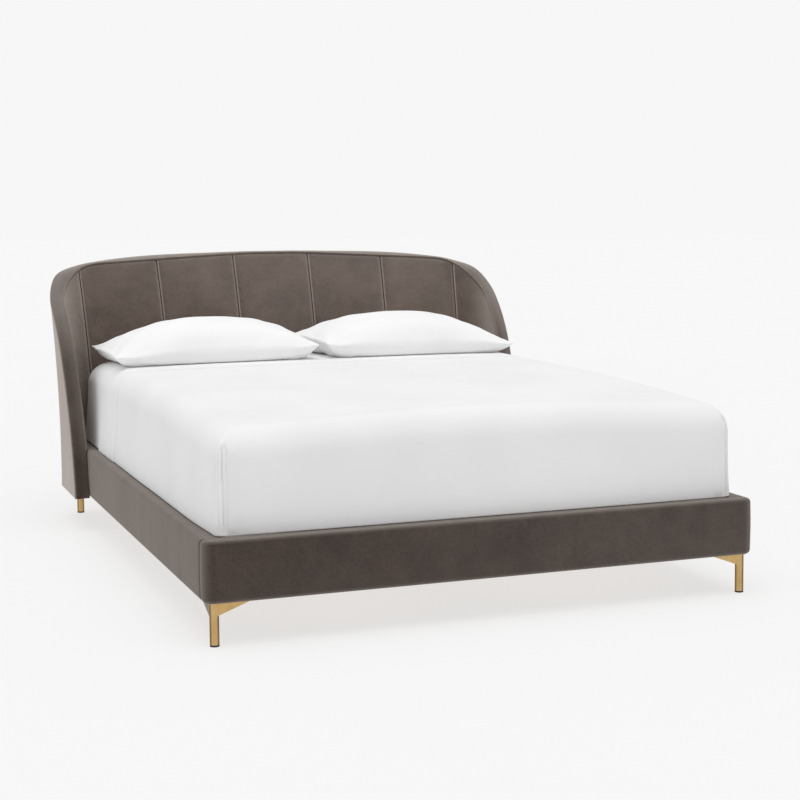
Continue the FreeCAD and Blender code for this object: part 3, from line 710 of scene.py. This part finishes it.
def bandProfile():
    # rounded over from the outer skin, across the rim, and down behind the piping
    outerFull, innerFull = bothSides(outerEdge), bothSides(innerEdge)
    outerLine = skinAt(outerFull, outerSkin)
    innerLine = skinAt(innerFull, lining)
    across = innerLine - outerLine
    width = np.linalg.norm(across, axis=1, keepdims=True)
    across /= width
    path = np.gradient(outerLine, axis=0)
    path /= np.linalg.norm(path, axis=1, keepdims=True)
    out = np.cross(across, path)
    out /= np.linalg.norm(out, axis=1, keepdims=True)
    mid = len(out) // 2
    out *= 1 if out[mid, 2] > 0 else -1
    rows = []

    def both(edge, amount):
        # both sides of an edge, moved in by the amount
        return bothSides(insetEdge(edge, amount))

    for amount, dip in bandLook["seamRows"]:
        rows.append(skinAt(both(outerEdge, amount), movedOut(outerSkin, -dip)))
    start = skinAt(both(outerEdge, bandLook["outerRound"]), outerSkin)
    stop = outerLine + across * bandLook["outerRound"]
    for t in np.linspace(0, 1, 9):
        rows.append(start * (1 - t) ** 2 + outerLine * 2 * t * (1 - t) + stop * t**2)
    start = stop
    stop = innerLine - across * bandLook["innerRound"]
    for t in np.linspace(0, 1, 9)[1:-1]:
        rows.append(start * (1 - t) + stop * t + out * np.sin(t * math.pi) * bandLook["crown"])
    start = stop
    stop = skinAt(both(innerEdge, bandLook["innerRound"]), lining)
    for t in np.linspace(0, 1, 5):
        rows.append(start * (1 - t) ** 2 + innerLine * 2 * t * (1 - t) + stop * t**2)
    rows.append(skinAt(both(innerEdge, bandLook["reach"]), movedOut(lining, bandLook["behind"])))
    return np.stack(rows, axis=1)


points = bandProfile()
band = addPiece("headboardEdgeBand", points, gridFaces(*points.shape[:2]), bandVelvetLitCopy, "frame", closed=False)
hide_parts("headboard_edge_band")

# piping: a round cord sewn where the lining meets the band, lightly twisted
pipingLook = {
    "radius": 0.0033, "inset": 0.0042, "proud": 0.0016, "below": 0.012, "twist": 0.03,
    "sides": 14, "rings": 1400,
}
centre = skinAt(bothSides(insetEdge(innerEdge, pipingLook["inset"])), movedOut(lining, -pipingLook["proud"]))
centre = centre[centre[:, 2] > headboard["wingLow"] - pipingLook["below"]]
centre = resampled(centre, pipingLook["rings"])
path = np.gradient(centre, axis=0)
path /= np.linalg.norm(path, axis=1, keepdims=True)
level = np.cross(path, np.array([0.0, 0.55, 0.83]))  # across a slant that the piping never follows
level /= np.linalg.norm(level, axis=1, keepdims=True)
upright = np.cross(level, path)
turn = np.linspace(0, 2 * math.pi, pipingLook["sides"], endpoint=False)[None, :, None]
run = np.arange(len(centre))[:, None, None]
twist = 1 + pipingLook["twist"] * np.sin(run * 1.1 + turn * 2)
ring = level[:, None] * np.cos(turn) + upright[:, None] * np.sin(turn)
points = centre[:, None] + ring * pipingLook["radius"] * twist
firstRing = np.arange(pipingLook["sides"])
ends = [firstRing, (len(centre) - 1) * pipingLook["sides"] + firstRing[::-1]]
piping = addPiece("headboardPiping", points, gridFaces(len(centre), pipingLook["sides"], wrapCols=True),
                  pipingVelvetLitCopy, "frame", caps=ends)
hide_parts("headboard_piping")
print("headboard cover, band and piping made")


# upholstered rails
railLook = {
    "round": 0.012, "footCorner": 0.032, "crown": 0.0016, "wave": 0.0007, "faceRows": 26, "endRound": 0.008,
    "clear": 0.0005, "fill": 0.9,
}


def endInset(gap):
    # how far the face has turned in at a distance from the rail's end: a quarter circle
    r = railLook["endRound"]
    return r - np.sqrt(r * r - (r - np.clip(gap, 0, r)) ** 2)


def softRail(name, outer, inner, out, node, low, high, look):
    # a rounded upright profile carried along the outer line; the inner line closes the back
    r = look["round"]
    turn = np.linspace(0, math.pi / 2, 8)
    inset = np.concatenate([r * (1 - np.sin(turn)), np.zeros(look["faceRows"]), r * (1 - np.sin(turn))[::-1]])
    height = np.concatenate([
        low + r * (1 - np.cos(turn)), np.linspace(low + r, high - r, look["faceRows"] + 2)[1:-1],
        high - r * (1 - np.cos(turn))[::-1],
    ])
    share = np.clip((height - low) / (high - low), 0, 1)
    run = np.concatenate([[0], np.cumsum(np.linalg.norm(np.diff(outer, axis=0), axis=1))])
    wave = ripple(run[:, None] * 1.3, height[None, :] * 2.0, 11, 6, 2.0, 9.0) * look["wave"]
    lift = np.sin(share * math.pi)[None, :] * (look["crown"] + wave)
    plan = outer[:, None] - out[:, None] * inset[None, :, None] + out[:, None] * lift[..., None]
    face = np.concatenate([plan, height[None, :, None] + 0 * plan[..., :1]], axis=-1)
    ring = outer - out * r

    def level(t, z):
        # one row of the flat top or underside, a share t of the way in
        plan = ring * (1 - t) + inner * t
        return np.concatenate([plan, np.full((len(plan), 1), z)], axis=1)[:, None]

    under = [level(t, low) for t in (1.0, 0.66, 0.33)]
    over = [level(t, high) for t in (0.33, 0.66, 1.0)]
    points = np.concatenate(under + [face] + over, axis=1)
    rows, cols = points.shape[:2]
    ends = [np.arange(cols), (rows - 1) * cols + np.arange(cols)[::-1]]
    quads = gridFaces(rows, cols, wrapCols=True)
    piece = addPiece(name, points, quads, velvet, "frame", caps=ends, sharp=50)
    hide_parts(node)
    return piece


# the foot rail turns two corners; the side rails are straight
footLow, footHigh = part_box("foot_rail_cover")
back = footHigh[1] - railLook["clear"]
r = railLook["footCorner"]
corner = np.linspace(math.pi, math.pi * 1.5, 16)
backGap = railLook["endRound"] * np.linspace(0, 1, 7)[:-1] ** 2
straight = np.linspace(back - railLook["endRound"], footLow[1] + r, 5)[:-1]
left = np.concatenate([
    np.stack([footLow[0] + endInset(backGap), back - backGap], axis=1),
    np.stack([0 * straight + footLow[0], straight], axis=1),
    np.stack([footLow[0] + r + r * np.cos(corner), footLow[1] + r + r * np.sin(corner)], axis=1),
])
straightOut = np.tile([-1.0, 0.0], (len(backGap) + len(straight), 1))
leftOut = np.concatenate([straightOut, np.stack([np.cos(corner), np.sin(corner)], axis=1)])
middle = np.linspace(footLow[0] + r, footHigh[0] - r, 140)[1:-1]
middle = np.stack([middle, np.full(len(middle), footLow[1])], axis=1)
outer = np.concatenate([left, middle, left[::-1] * [-1, 1]])
out = np.concatenate([leftOut, np.tile([0.0, -1.0], (len(middle), 1)), leftOut[::-1] * [-1, 1]])
ring = outer - out * railLook["round"]
innerX = ring[:, 0].copy()
spreadOut = np.linspace(0, 1, len(left))
innerX[:len(left)] = ring[0, 0] + spreadOut * (ring[len(left) - 1, 0] - ring[0, 0])
innerX[-len(left):] = -innerX[:len(left)][::-1]
inner = np.stack([innerX, np.full(len(innerX), back)], axis=1)
softRail("footRailCover", outer, inner, out, "foot_rail_cover", footLow[2], footHigh[2], railLook)

for sign, side in ((-1, "left"), (1, "right")):
    low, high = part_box(side + "_rail_cover")
    start = low[1] + railLook["clear"]
    y = np.concatenate([start + railLook["endRound"] * np.linspace(0, 1, 7)[:-1] ** 2,
                        np.linspace(start + railLook["endRound"], high[1], 174)])
    faceX = high[0] if sign > 0 else low[0]
    innerX = (low[0] if sign > 0 else high[0]) + sign * railLook["clear"]
    outer = np.stack([faceX - sign * endInset(y - low[1] - railLook["clear"]), y], axis=1)
    inner = np.stack([np.full(len(y), innerX), y], axis=1)
    out = np.tile([float(sign), 0.0], (len(y), 1))
    softRail(side + "RailCover", outer, inner, out, side + "_rail_cover", low[2], high[2], railLook)
print("rails made")


# mattress and sheets; each calm is (along the side, along the foot)
bedLow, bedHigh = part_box("mattress")
bedLook = {
    "upright": 0.014, "overX": 0.070, "overZ": 0.078, "crown": 0.010, "wave": 0.0016,
    "bulgeSide": 0.024, "bulgeFoot": 0.011, "bulgeTop": 0.006, "bulgeRound": 0.003, "bulgeThins": 1.3,
    "shelf": 0.0005, "shelfRun": 0.02, "nesting": 1.1,
    "calmLeft": (0.4, 0.9), "calmRight": (0.35, 0.35), "calmReach": 0.16,
    "droop": 0.022, "droopReach": 0.42, "headDroop": 0.010, "headReach": 0.13,
    "bodyGap": -0.0004, "fittedGap": 0.0022, "flatGap": 0.0046, "sheetLow": 0.012, "fittedWave": 0.0012,
    "flatWave": 0.0014,
    "tuck": 0.07, "underRound": 0.014, "fill": 0.95,
}
# hem and turnDown are distances from the head edge; the flap, the ridge at (place, width) and the creases at
# (place, width, strength) belong to the folded corner
foldLook = {
    "hem": 0.2325, "hemWidth": 0.0040, "hemDepth": 0.0042,
    "turnDown": 0.2825, "turnSoft": 0.0012, "turnHeight": 0.0028, "turnWidth": 0.0035, "turnDepth": 0.0030,
    "turnLead": 0.004,
    "flap": 0.05, "flapSoft": 0.002, "flapHeight": 0.0020, "flapFrom": 0.02, "flapDepth": 0.03,
    "ridge": (0.004, 0.0045), "ridgeHeight": 0.0045, "creases": ((0.014, 0.0045, 1.0), (-0.008, 0.004, 0.7)),
    "creaseDepth": 0.0060, "belowTop": 0.058, "aboveRail": 0.012, "endSoft": 0.003,
    "shadeReach": 0.05, "creaseShade": 0.22, "lineShade": 0.8, "fine": 0.0016,
}


def bedPath(grow, closed, headY):
    # plan of the bedding's side: square corners rounded a little; open at the head for the flat sheet
    half = bedHigh[0] + grow
    y0, y1 = bedLow[1] - grow, bedHigh[1] + grow
    r = bedLook["upright"] + grow

    def side(a, b, count, fine=()):
        # even steps, with finer ones round the stitch lines and folds
        length = math.dist(a, b)
        finer = [np.linspace(start, end, int((end - start) / foldLook["fine"])) for start, end in fine]
        at = np.concatenate([np.linspace(0, length, count)] + finer)
        at = np.unique(np.round(np.clip(at, 0, length), 5))[:-1, None] / length
        return np.array(a) * (1 - at) + np.array(b) * at

    def corner(x, y, start):
        # a quarter circle from the start angle
        turn = np.linspace(start, start + math.pi / 2, 15)[:-1]
        return np.stack([x + r * np.cos(turn), y + r * np.sin(turn)], axis=1)

    endY = y1 - r if closed else headY
    long, wide = endY - y0 - r, 2 * (half - r)
    hem, turnDown = foldLook["hem"], foldLook["turnDown"]
    lines = () if closed else ((hem - 0.012, hem + 0.012), (turnDown - 0.012, turnDown + 0.016))
    folds = () if closed else ((long - 0.03, long),)
    mirrored = tuple((long - end, long - start) for start, end in lines + folds)
    parts = [side((-half, endY), (-half, y0 + r), 110, lines + folds), corner(-half + r, y0 + r, math.pi),
             side((-half + r, y0), (half - r, y0), 100, ((0, 0.07), (wide - 0.07, wide))),
             corner(half - r, y0 + r, 1.5 * math.pi), side((half, y0 + r), (half, endY), 110, mirrored)]
    if closed:
        parts += [corner(half - r, y1 - r, 0), side((half - r, y1), (-half + r, y1), 120),
                  corner(-half + r, y1 - r, 0.5 * math.pi)]
    else:
        parts.append(np.array([[half, endY]]))
    return np.concatenate(parts)


def cornerDroop(x, y):
    # the corners sink as exp(-(distance / reach)^2), further round the foot corners than the head ones
    sideGap = np.clip(bedHigh[0] - np.abs(x), 0, 9)
    foot = np.exp(-(np.hypot(sideGap, y - bedLow[1]) / bedLook["droopReach"]) ** 2)
    head = np.exp(-(np.hypot(sideGap, bedHigh[1] - y) / bedLook["headReach"]) ** 2)
    return bedLook["droop"] * foot + bedLook["headDroop"] * head


def bedTop(m, x, y, grow):
    # height over the mattress: rolls over the edge as a quarter ellipse, then rises to a slow crown
    ox, oz = bedLook["overX"], bedLook["overZ"]
    near = np.clip(m / ox, 0, 1)
    roll = oz * (1 - np.sqrt(np.clip(1 - (1 - near) ** 2, 0, 1)))
    fx = 1 - np.clip(np.abs(x) / bedHigh[0], 0, 1) ** 2
    half = (bedHigh[1] - bedLow[1]) / 2
    fy = 1 - np.clip(np.abs(y - (bedHigh[1] + bedLow[1]) / 2) / half, 0, 1) ** 2
    crown = bedLook["crown"] * np.sqrt(np.clip(fx * fy, 0, 1))
    wave = ripple(x, y, 21, 8, 2.0, 9.0) * bedLook["wave"] * near
    return bedHigh[2] + grow - roll + crown + wave - cornerDroop(x, y)


def withHeight(plan, z):
    # plan points all at one height, or each at its own
    return np.concatenate([plan, np.full((len(plan), 1), z) if np.ndim(z) == 0 else z[:, None]], axis=1)


def sheetSurface(grow, closed, headY, lowZ, tuck, wrinkle):
    # rings of the plan path: up the side, over the edge, then shrinking onto the bed's middle line
    path = bedPath(grow, closed, headY)
    reach = bedHigh[0] + grow
    spineLow = bedLow[1] + reach
    spineHigh = bedHigh[1] - reach if closed else 1e9
    spine = np.stack([0 * path[:, 0], np.clip(path[:, 1], spineLow, spineHigh)], axis=1)
    along = np.gradient(path, axis=0)
    if closed:
        along = np.roll(path, -1, axis=0) - np.roll(path, 1, axis=0)
    along /= np.linalg.norm(along, axis=1, keepdims=True)
    out = np.stack([along[:, 1], -along[:, 0]], axis=1)
    crest = bedHigh[2] + grow - bedLook["overZ"]
    rows = []
    if tuck:
        # the mattress's underside and its rounded lower edge
        r = bedLook["underRound"]
        rows += [withHeight(path - out * inset, lowZ) for inset in (tuck, tuck * 0.5, 0.02)]
        rows += [withHeight(path - out * r * (1 - math.sin(angle)), lowZ + r * (1 - math.cos(angle)))
                 for angle in np.linspace(0, math.pi / 2, 5)]
    startZ = rows[-1][0, 2] + 0.004 if tuck else lowZ
    run = np.concatenate([[0], np.cumsum(np.linalg.norm(np.diff(path, axis=0), axis=1))])
    # above the rails the bedding bulges out round a quarter circle, then slowly thins towards the top edge
    shelf = railHigh + bedLook["shelf"] + (bedLook["flatGap"] - grow) * bedLook["nesting"]
    shelfEnd = shelf + bedLook["shelfRun"]
    toCorner = np.hypot(bedHigh[0] - np.abs(path[:, 0]), path[:, 1] - bedLow[1])
    calm = np.where(path[:, :1] < 0, bedLook["calmLeft"], bedLook["calmRight"])
    calm = 1 - calm * np.exp(-(toCorner / bedLook["calmReach"]) ** 2)[:, None]
    bulge = bedLook["bulgeSide"] * out[:, 0] ** 2 * calm[:, 0]
    bulge = bulge + bedLook["bulgeFoot"] * out[:, 1] ** 2 * calm[:, 1]
    heights = np.concatenate([
        np.linspace(startZ, shelf - 0.0008, 8), shelf + bedLook["shelfRun"] * np.linspace(0, 1, 12) ** 3,
        np.linspace(shelfEnd, crest, 24)[1:],
    ])
    for z in heights:
        over = max(z - shelf, 0.0)
        up = np.clip((z - railHigh) / (crest - railHigh), 0, 1)
        ease = math.sqrt(1 - (1 - min(over / bedLook["bulgeRound"], 1)) ** 2) if z >= shelf else 0.0
        top = np.minimum(bedLook["bulgeTop"], bulge)
        swell = ease * (top + (bulge - top) * (1 - up) ** bedLook["bulgeThins"])
        wave = ripple(run * 1.2, 0 * run + z * 1.5, 31, 9, 2.0, 14.0) * wrinkle * ease
        droop = cornerDroop(path[:, 0], path[:, 1]) * up
        rows.append(withHeight(path + out * (swell + wave)[:, None], z - droop))
    top = rows[-1][:, :2]
    inFrom = bedLook["overX"] * (1 - np.cos(np.linspace(0, math.pi / 2, 14)[1:]))
    for m in np.concatenate([inFrom, np.linspace(bedLook["overX"], reach, 50)[1:]]):
        plan = spine + (top - spine) * (1 - m / reach)
        rows.append(withHeight(plan, bedTop(np.full(len(plan), m), plan[:, 0], plan[:, 1], grow)))
    return np.stack(rows, axis=0)


def closedBlock(grow):
    # the same surface closed below by rings that grow from the middle line of the underside
    rows = sheetSurface(grow, True, None, bedLow[2] - grow, bedLook["tuck"], 0.0)
    path = rows[0][:, :2]
    spine = np.stack([0 * path[:, 0], np.clip(path[:, 1], bedLow[1] + 0.7, bedHigh[1] - 0.7)], axis=1)
    floor = [withHeight(spine + (path - spine) * k, rows[0][:, 2]) for k in np.linspace(0, 1, 12)[:-1]]
    return np.concatenate([np.stack(floor), rows])


points = closedBlock(bedLook["bodyGap"])
mattress = addPiece("mattress_body", points, gridFaces(*points.shape[:2], wrapCols=True), ticking, "mattress")
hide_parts("mattress")

sheetLow = bedLow[2] + bedLook["sheetLow"]
points = sheetSurface(bedLook["fittedGap"], True, None, sheetLow, 0, bedLook["fittedWave"])
sheetFaces = gridFaces(*points.shape[:2], wrapCols=True)
fitted = addPiece("fittedSheet", points, sheetFaces, cotton, "mattress", closed=False)
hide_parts("fitted_sheet")


def onLine(gap, at, width):
    # 1 on a line and fading each side of it: exp(-((gap - at) / width)^2)
    return np.exp(-((gap - at) / width) ** 2)


def before(gap, at, soft):
    # 1 before a place and 0 after it: 1 / (1 + exp((gap - at) / soft))
    return 1 / (1 + np.exp(np.clip((gap - at) / soft, -60, 60)))


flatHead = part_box("flat_sheet")[1][1]
points = sheetSurface(bedLook["flatGap"], False, flatHead, sheetLow, 0, bedLook["flatWave"])
normal = np.cross(np.gradient(points, axis=1), np.gradient(points, axis=0))
normal /= np.linalg.norm(normal, axis=-1, keepdims=True) + 1e-12
normal *= np.where(np.sum(normal * (points - [0, 0, 0.4]), axis=-1, keepdims=True) > 0, 1, -1)
# a doubled hem along the head edge, with its stitching line, turned down over the bed
gap = flatHead - points[..., 1]
turned = foldLook["turnHeight"] * before(gap, foldLook["turnDown"], foldLook["turnSoft"])
hemLine = onLine(gap, foldLook["hem"], foldLook["hemWidth"])
turnLine = onLine(gap, foldLook["turnDown"] + foldLook["turnLead"], foldLook["turnWidth"])
# the folded corner: a ridge between two grooves up the mattress's foot edge, from the rail to the top roll
height = points[..., 2]
footGap = points[..., 1] - points[..., 1].min(axis=1, keepdims=True)
sideGap = bedHigh[0] + bedLook["flatGap"] - np.abs(points[..., 0])
below = before(height, bedHigh[2] - foldLook["belowTop"], foldLook["endSoft"])
below = below * before(-height, -railHigh - foldLook["aboveRail"], foldLook["endSoft"])
edgeRun = np.where(footGap < sideGap, sideGap, -footGap)
creases = sum(strength * onLine(edgeRun, at, width) for at, width, strength in foldLook["creases"])
ridge = foldLook["ridgeHeight"] * onLine(edgeRun, *foldLook["ridge"]) - foldLook["creaseDepth"] * creases
flapStep = foldLook["flapHeight"] * before(sideGap, foldLook["flap"], foldLook["flapSoft"])
flapStep = flapStep * (footGap < foldLook["flapDepth"]) * (sideGap > foldLook["flapFrom"])
rise = turned - foldLook["hemDepth"] * hemLine - foldLook["turnDepth"] * turnLine + (ridge + flapStep) * below
points = points + normal * rise[..., None]
# the fold mark: painted shade in the creases and a soft band round the folded corner, and along the hem and
# turn-down lines, where the stitching is partly its own colour and partly painted shade
shade = (creases + foldLook["creaseShade"] * onLine(edgeRun, 0, foldLook["shadeReach"])) * below
shade = np.clip(shade + foldLook["lineShade"] * (hemLine + turnLine), 0, 1)
sheetFaces = gridFaces(*points.shape[:2])
flat = addPiece("flatSheet", points, sheetFaces, cotton, "mattress", closed=False, marks={"foldShade": shade})
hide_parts("flat_sheet")
print("mattress and sheets made")


pillowLook = {
    "height": 0.112, "seam": 0.042, "rear": 0.004, "inner": 0.022, "pinch": 0.05, "inset": 0.045, "gap": 0.006,
    "wrinkle": 0.004, "folds": 0.004, "innerEnd": (2.5, 1.05), "outerEnd": (2.2, 1.2), "sideEnd": 0.52,
    "lies": 0.0012, "sinks": 0.012, "clear": 0.004, "grid": (131, 91), "crowd": 0.45,
}
puffLook = {
    "voxel": 0.007, "pressure": 4.0, "slack": -0.05, "bending": 0.3, "frames": 20, "cap": 0.014, "hold": 0.26,
    "seamCap": 0.06, "smaller": 0.010, "middleGap": 0.002, "lies": 0.0018, "fill": 0.7,
}


def pillowPoints(sign, look):
    # two faces meeting in a seam: the height falls to each end as (1 - |u|^a)^b and to the sides as
    # (1 - v^2)^sideEnd, and the lower face lies on the bed
    low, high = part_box("left_pillow" if sign < 0 else "right_pillow")
    outerX = sign * (max(abs(low[0]), abs(high[0])) - look["inset"])
    innerX = sign * (min(abs(low[0]), abs(high[0])) + look["gap"])
    cx, cy = (outerX + innerX) / 2, (low[1] + high[1]) / 2
    hx, hy = (outerX - innerX) / 2, (high[1] - low[1]) / 2
    even = [np.linspace(-1, 1, count) for count in look["grid"]]
    uneven = [(1 - look["crowd"]) * t + look["crowd"] * np.sin(t * math.pi / 2) for t in even]
    u, v = np.meshgrid(*uneven, indexing="ij")
    x = cx + hx * u * (1 - look["pinch"] * 0.7 * (1 - v**2) * u**2)
    y = cy + hy * v * (1 - look["pinch"] * (1 - u**2) * v**2)
    t = np.clip((u + 0.5) / 1.0, 0, 1)
    t = t * t * (3 - 2 * t)
    inner, outer = ((1 - np.abs(u) ** a) ** b for a, b in (look["innerEnd"], look["outerEnd"]))
    along = inner * (1 - t) + outer * t
    body = along * (1 - v**2) ** look["sideEnd"]
    pull = np.abs(u * v) ** 1.5 * (1 - body)
    shallow = np.sqrt(np.clip(body * (1 - body) * 4, 0, 1))
    pucker = ripple(u * 9, v * 6, 41 + sign, 9, 0.6, 2.4) * look["wrinkle"] * shallow
    folds = np.sin(np.arctan2(1 - np.abs(u), 1.02 - np.abs(v)) * 9 + sign) * look["folds"] * pull
    rest = bedTop(np.clip(bedHigh[0] - np.abs(x), 0, 1), x, y, bedLook["flatGap"] + look["lies"])
    rest = np.maximum(rest, bedHigh[2] - look["sinks"])
    base = bedHigh[2] + bedLook["flatGap"] + look["clear"]
    seam = base + look["seam"] + look["rear"] * v * u**2 * v**2 + look["inner"] * np.clip(-u, 0, 1) ** 2
    up = seam + look["height"] * body + (pucker + folds) * (body > 0)
    down = rest + (seam - rest) * (1 - np.clip(body * 1.05, 0, 1)) ** 7
    up = np.maximum(up, down)
    return np.stack([x, y, up], axis=-1), np.stack([x, y, down], axis=-1)


def puffed(piece, look):
    # remeshed evenly and blown up as cloth without gravity; a move is brought under its cap by tanh
    scene = bpy.context.scene
    remesh = piece.modifiers.new("even", "REMESH")
    remesh.mode = "VOXEL"
    remesh.voxel_size = look["voxel"]
    even = bpy.data.meshes.new_from_object(piece.evaluated_get(bpy.context.evaluated_depsgraph_get()))
    piece.modifiers.clear()
    piece.data = even
    start = np.empty(len(even.vertices) * 3)
    even.vertices.foreach_get("co", start)
    cloth = piece.modifiers.new("cloth", "CLOTH")
    cloth.settings.use_pressure = True
    cloth.settings.uniform_pressure_force = look["pressure"]
    cloth.settings.shrink_min = look["slack"]
    cloth.settings.bending_stiffness = look["bending"]
    cloth.settings.effector_weights.gravity = 0
    cloth.collision_settings.use_collision = False
    cloth.point_cache.frame_start = 1
    cloth.point_cache.frame_end = look["frames"]
    for frameNumber in range(1, look["frames"] + 1):
        scene.frame_set(frameNumber)
    blown = piece.evaluated_get(bpy.context.evaluated_depsgraph_get()).to_mesh()
    stop = np.empty(len(start))
    blown.vertices.foreach_get("co", stop)
    piece.evaluated_get(bpy.context.evaluated_depsgraph_get()).to_mesh_clear()
    piece.modifiers.clear()
    scene.frame_set(1)
    start, stop = start.reshape(-1, 3), stop.reshape(-1, 3)
    move = stop - start
    length = np.linalg.norm(move, axis=1, keepdims=True) + 1e-9
    print("cloth", piece.name, len(start), "points, mean move", float(length.mean()))
    # the seams hold: the cap falls towards the outline of the plan
    middle = (start.max(axis=0) + start.min(axis=0)) / 2
    share = np.max(np.abs(start - middle)[:, :2] / (start.max(axis=0) - middle)[:2], axis=1, keepdims=True)
    cap = look["cap"] * np.clip((1 - share) / look["hold"], look["seamCap"], 1)
    return start + move * cap * np.tanh(length / cap) / length


for sign, side in ((-1, "left"), (1, "right")):
    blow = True
    shape = dict(pillowLook, height=pillowLook["height"] - puffLook["smaller"]) if blow else pillowLook
    top, bottom = pillowPoints(sign, shape)
    points = np.concatenate([top.reshape(-1, 3), bottom.reshape(-1, 3)])
    pillow = addPiece(side + "Pillow", points, slabFaces(*top.shape[:2]), pillowCotton, side + "_pillow")
    if blow:
        points = puffed(pillow, puffLook)
        # it stays on its own side, and on top of the bed
        points[:, 0] = sign * np.maximum(sign * points[:, 0], puffLook["middleGap"])
        fromEdge = bedHigh[0] - np.abs(points[:, 0])
        rest = bedTop(fromEdge, points[:, 0], points[:, 1], bedLook["flatGap"] + puffLook["lies"])
        overBed = np.abs(points[:, 0]) < bedHigh[0] - 0.002
        points[:, 2] = np.where(overBed, np.maximum(points[:, 2], rest), points[:, 2])
        pillow.data.vertices.foreach_set("co", points.ravel())
        pillow.data.polygons.foreach_set("use_smooth", np.ones(len(pillow.data.polygons), dtype=bool))
        finer = pillow.modifiers.new("finer", "SUBSURF")
        finer.levels = finer.render_levels = 1
    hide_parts(side + "_pillow")
print("pillows made")


camera = {
    "place": (-1.79568, -5.39916, 1.14533), "yaw": 0.378963, "pitch": 0.090294, "roll": -0.006087,
    "lens": 75.44, "sensor": 36, "shiftX": -0.0713, "shiftY": -0.0517,
}
eye = bpy.data.cameras.new("camera")
eye.lens = camera["lens"]
eye.sensor_width = camera["sensor"]
eye.shift_x = camera["shiftX"]
eye.shift_y = camera["shiftY"]
eye.clip_end = 200
yaw, pitch, roll = camera["yaw"], camera["pitch"], camera["roll"]
ahead = np.array([math.sin(yaw) * math.cos(pitch), math.cos(yaw) * math.cos(pitch), -math.sin(pitch)])
right = np.array([math.cos(yaw), -math.sin(yaw), 0])
above = np.cross(right, ahead)
levelRight = right * math.cos(roll) + above * math.sin(roll)
levelAbove = above * math.cos(roll) - right * math.sin(roll)
turn = np.eye(4)
turn[:3, 0], turn[:3, 1], turn[:3, 2], turn[:3, 3] = levelRight, levelAbove, -ahead, camera["place"]
eyeObject = bpy.data.objects.new("camera", eye)
bpy.context.scene.collection.objects.link(eyeObject)
eyeObject.matrix_world = Matrix(turn.tolist())
bpy.context.scene.camera = eyeObject

studio = {
    "sky": 0.55, "backdrop": 0.93, "floor": (0.26, 0.26, 0.26), "glow": 0.67, "keyStrength": 1.5,
    "keyAngle": 60, "keyTurn": (7, -4, 0), "floorRings": (0.0, 2.0, 6.0, 15.0, 60.0), "floorDrop": 0.0002,
}
world = bpy.data.worlds.new("studio")
world.use_nodes = True
bpy.context.scene.world = world
tree = world.node_tree
sky = tree.nodes["Background"]
sky.inputs["Color"].default_value = (1, 1, 1, 1)
sky.inputs["Strength"].default_value = studio["sky"]
seen = addNode(tree, "ShaderNodeBackground", Color=(1.0, 1.0, 1.0, 1), Strength=studio["backdrop"])
ray = addNode(tree, "ShaderNodeLightPath")
choose = addNode(tree, "ShaderNodeMixShader")
tree.links.new(ray.outputs["Is Camera Ray"], choose.inputs["Fac"])
tree.links.new(sky.outputs["Background"], choose.inputs[1])
tree.links.new(seen.outputs["Background"], choose.inputs[2])
tree.links.new(choose.outputs["Shader"], tree.nodes["World Output"].inputs["Surface"])

key = bpy.data.lights.new("key", "SUN")
key.energy = studio["keyStrength"]
key.angle = math.radians(studio["keyAngle"])
keyObject = bpy.data.objects.new("key", key)
keyObject.rotation_euler = [math.radians(a) for a in studio["keyTurn"]]
bpy.context.scene.collection.objects.link(keyObject)

floorMaterial, tree, shader = newMaterial("paleFloor")
cloud = noise(tree, objectSpace(tree), 0.7, 2.0, 0.5)
low = tuple(part * 0.99 for part in studio["floor"])
tree.links.new(ramp(tree, cloud, low, studio["floor"]), shader.inputs["Base Color"])
tree.links.new(spanned(tree, cloud, 0.8, 0.9), shader.inputs["Roughness"])
shader.inputs["Specular IOR Level"].default_value = 0.0
shader.inputs["Emission Color"].default_value = (1, 1, 1, 1)
shader.inputs["Emission Strength"].default_value = studio["glow"]
# the floor is a disc in rings, just under the glides
turn = np.linspace(0, 2 * math.pi, 97)[:-1]
reach = np.array(studio["floorRings"])[:, None]
points = np.stack([reach * np.cos(turn), reach * np.sin(turn), 0 * reach * turn - studio["floorDrop"]], axis=-1)
mesh = bpy.data.meshes.new("floor")
mesh.from_pydata(points.reshape(-1, 3).tolist(), [], gridFaces(*points.shape[:2], wrapCols=True).tolist())
floor = bpy.data.objects.new("floor", mesh)
bpy.context.scene.collection.objects.link(floor)
work = bmesh.new()
work.from_mesh(mesh)
bmesh.ops.remove_doubles(work, verts=work.verts, dist=1e-6)
work.to_mesh(mesh)
work.free()
mesh.materials.append(floorMaterial)
bpy.context.scene.view_settings.view_transform = "Standard"
print("camera and studio made")
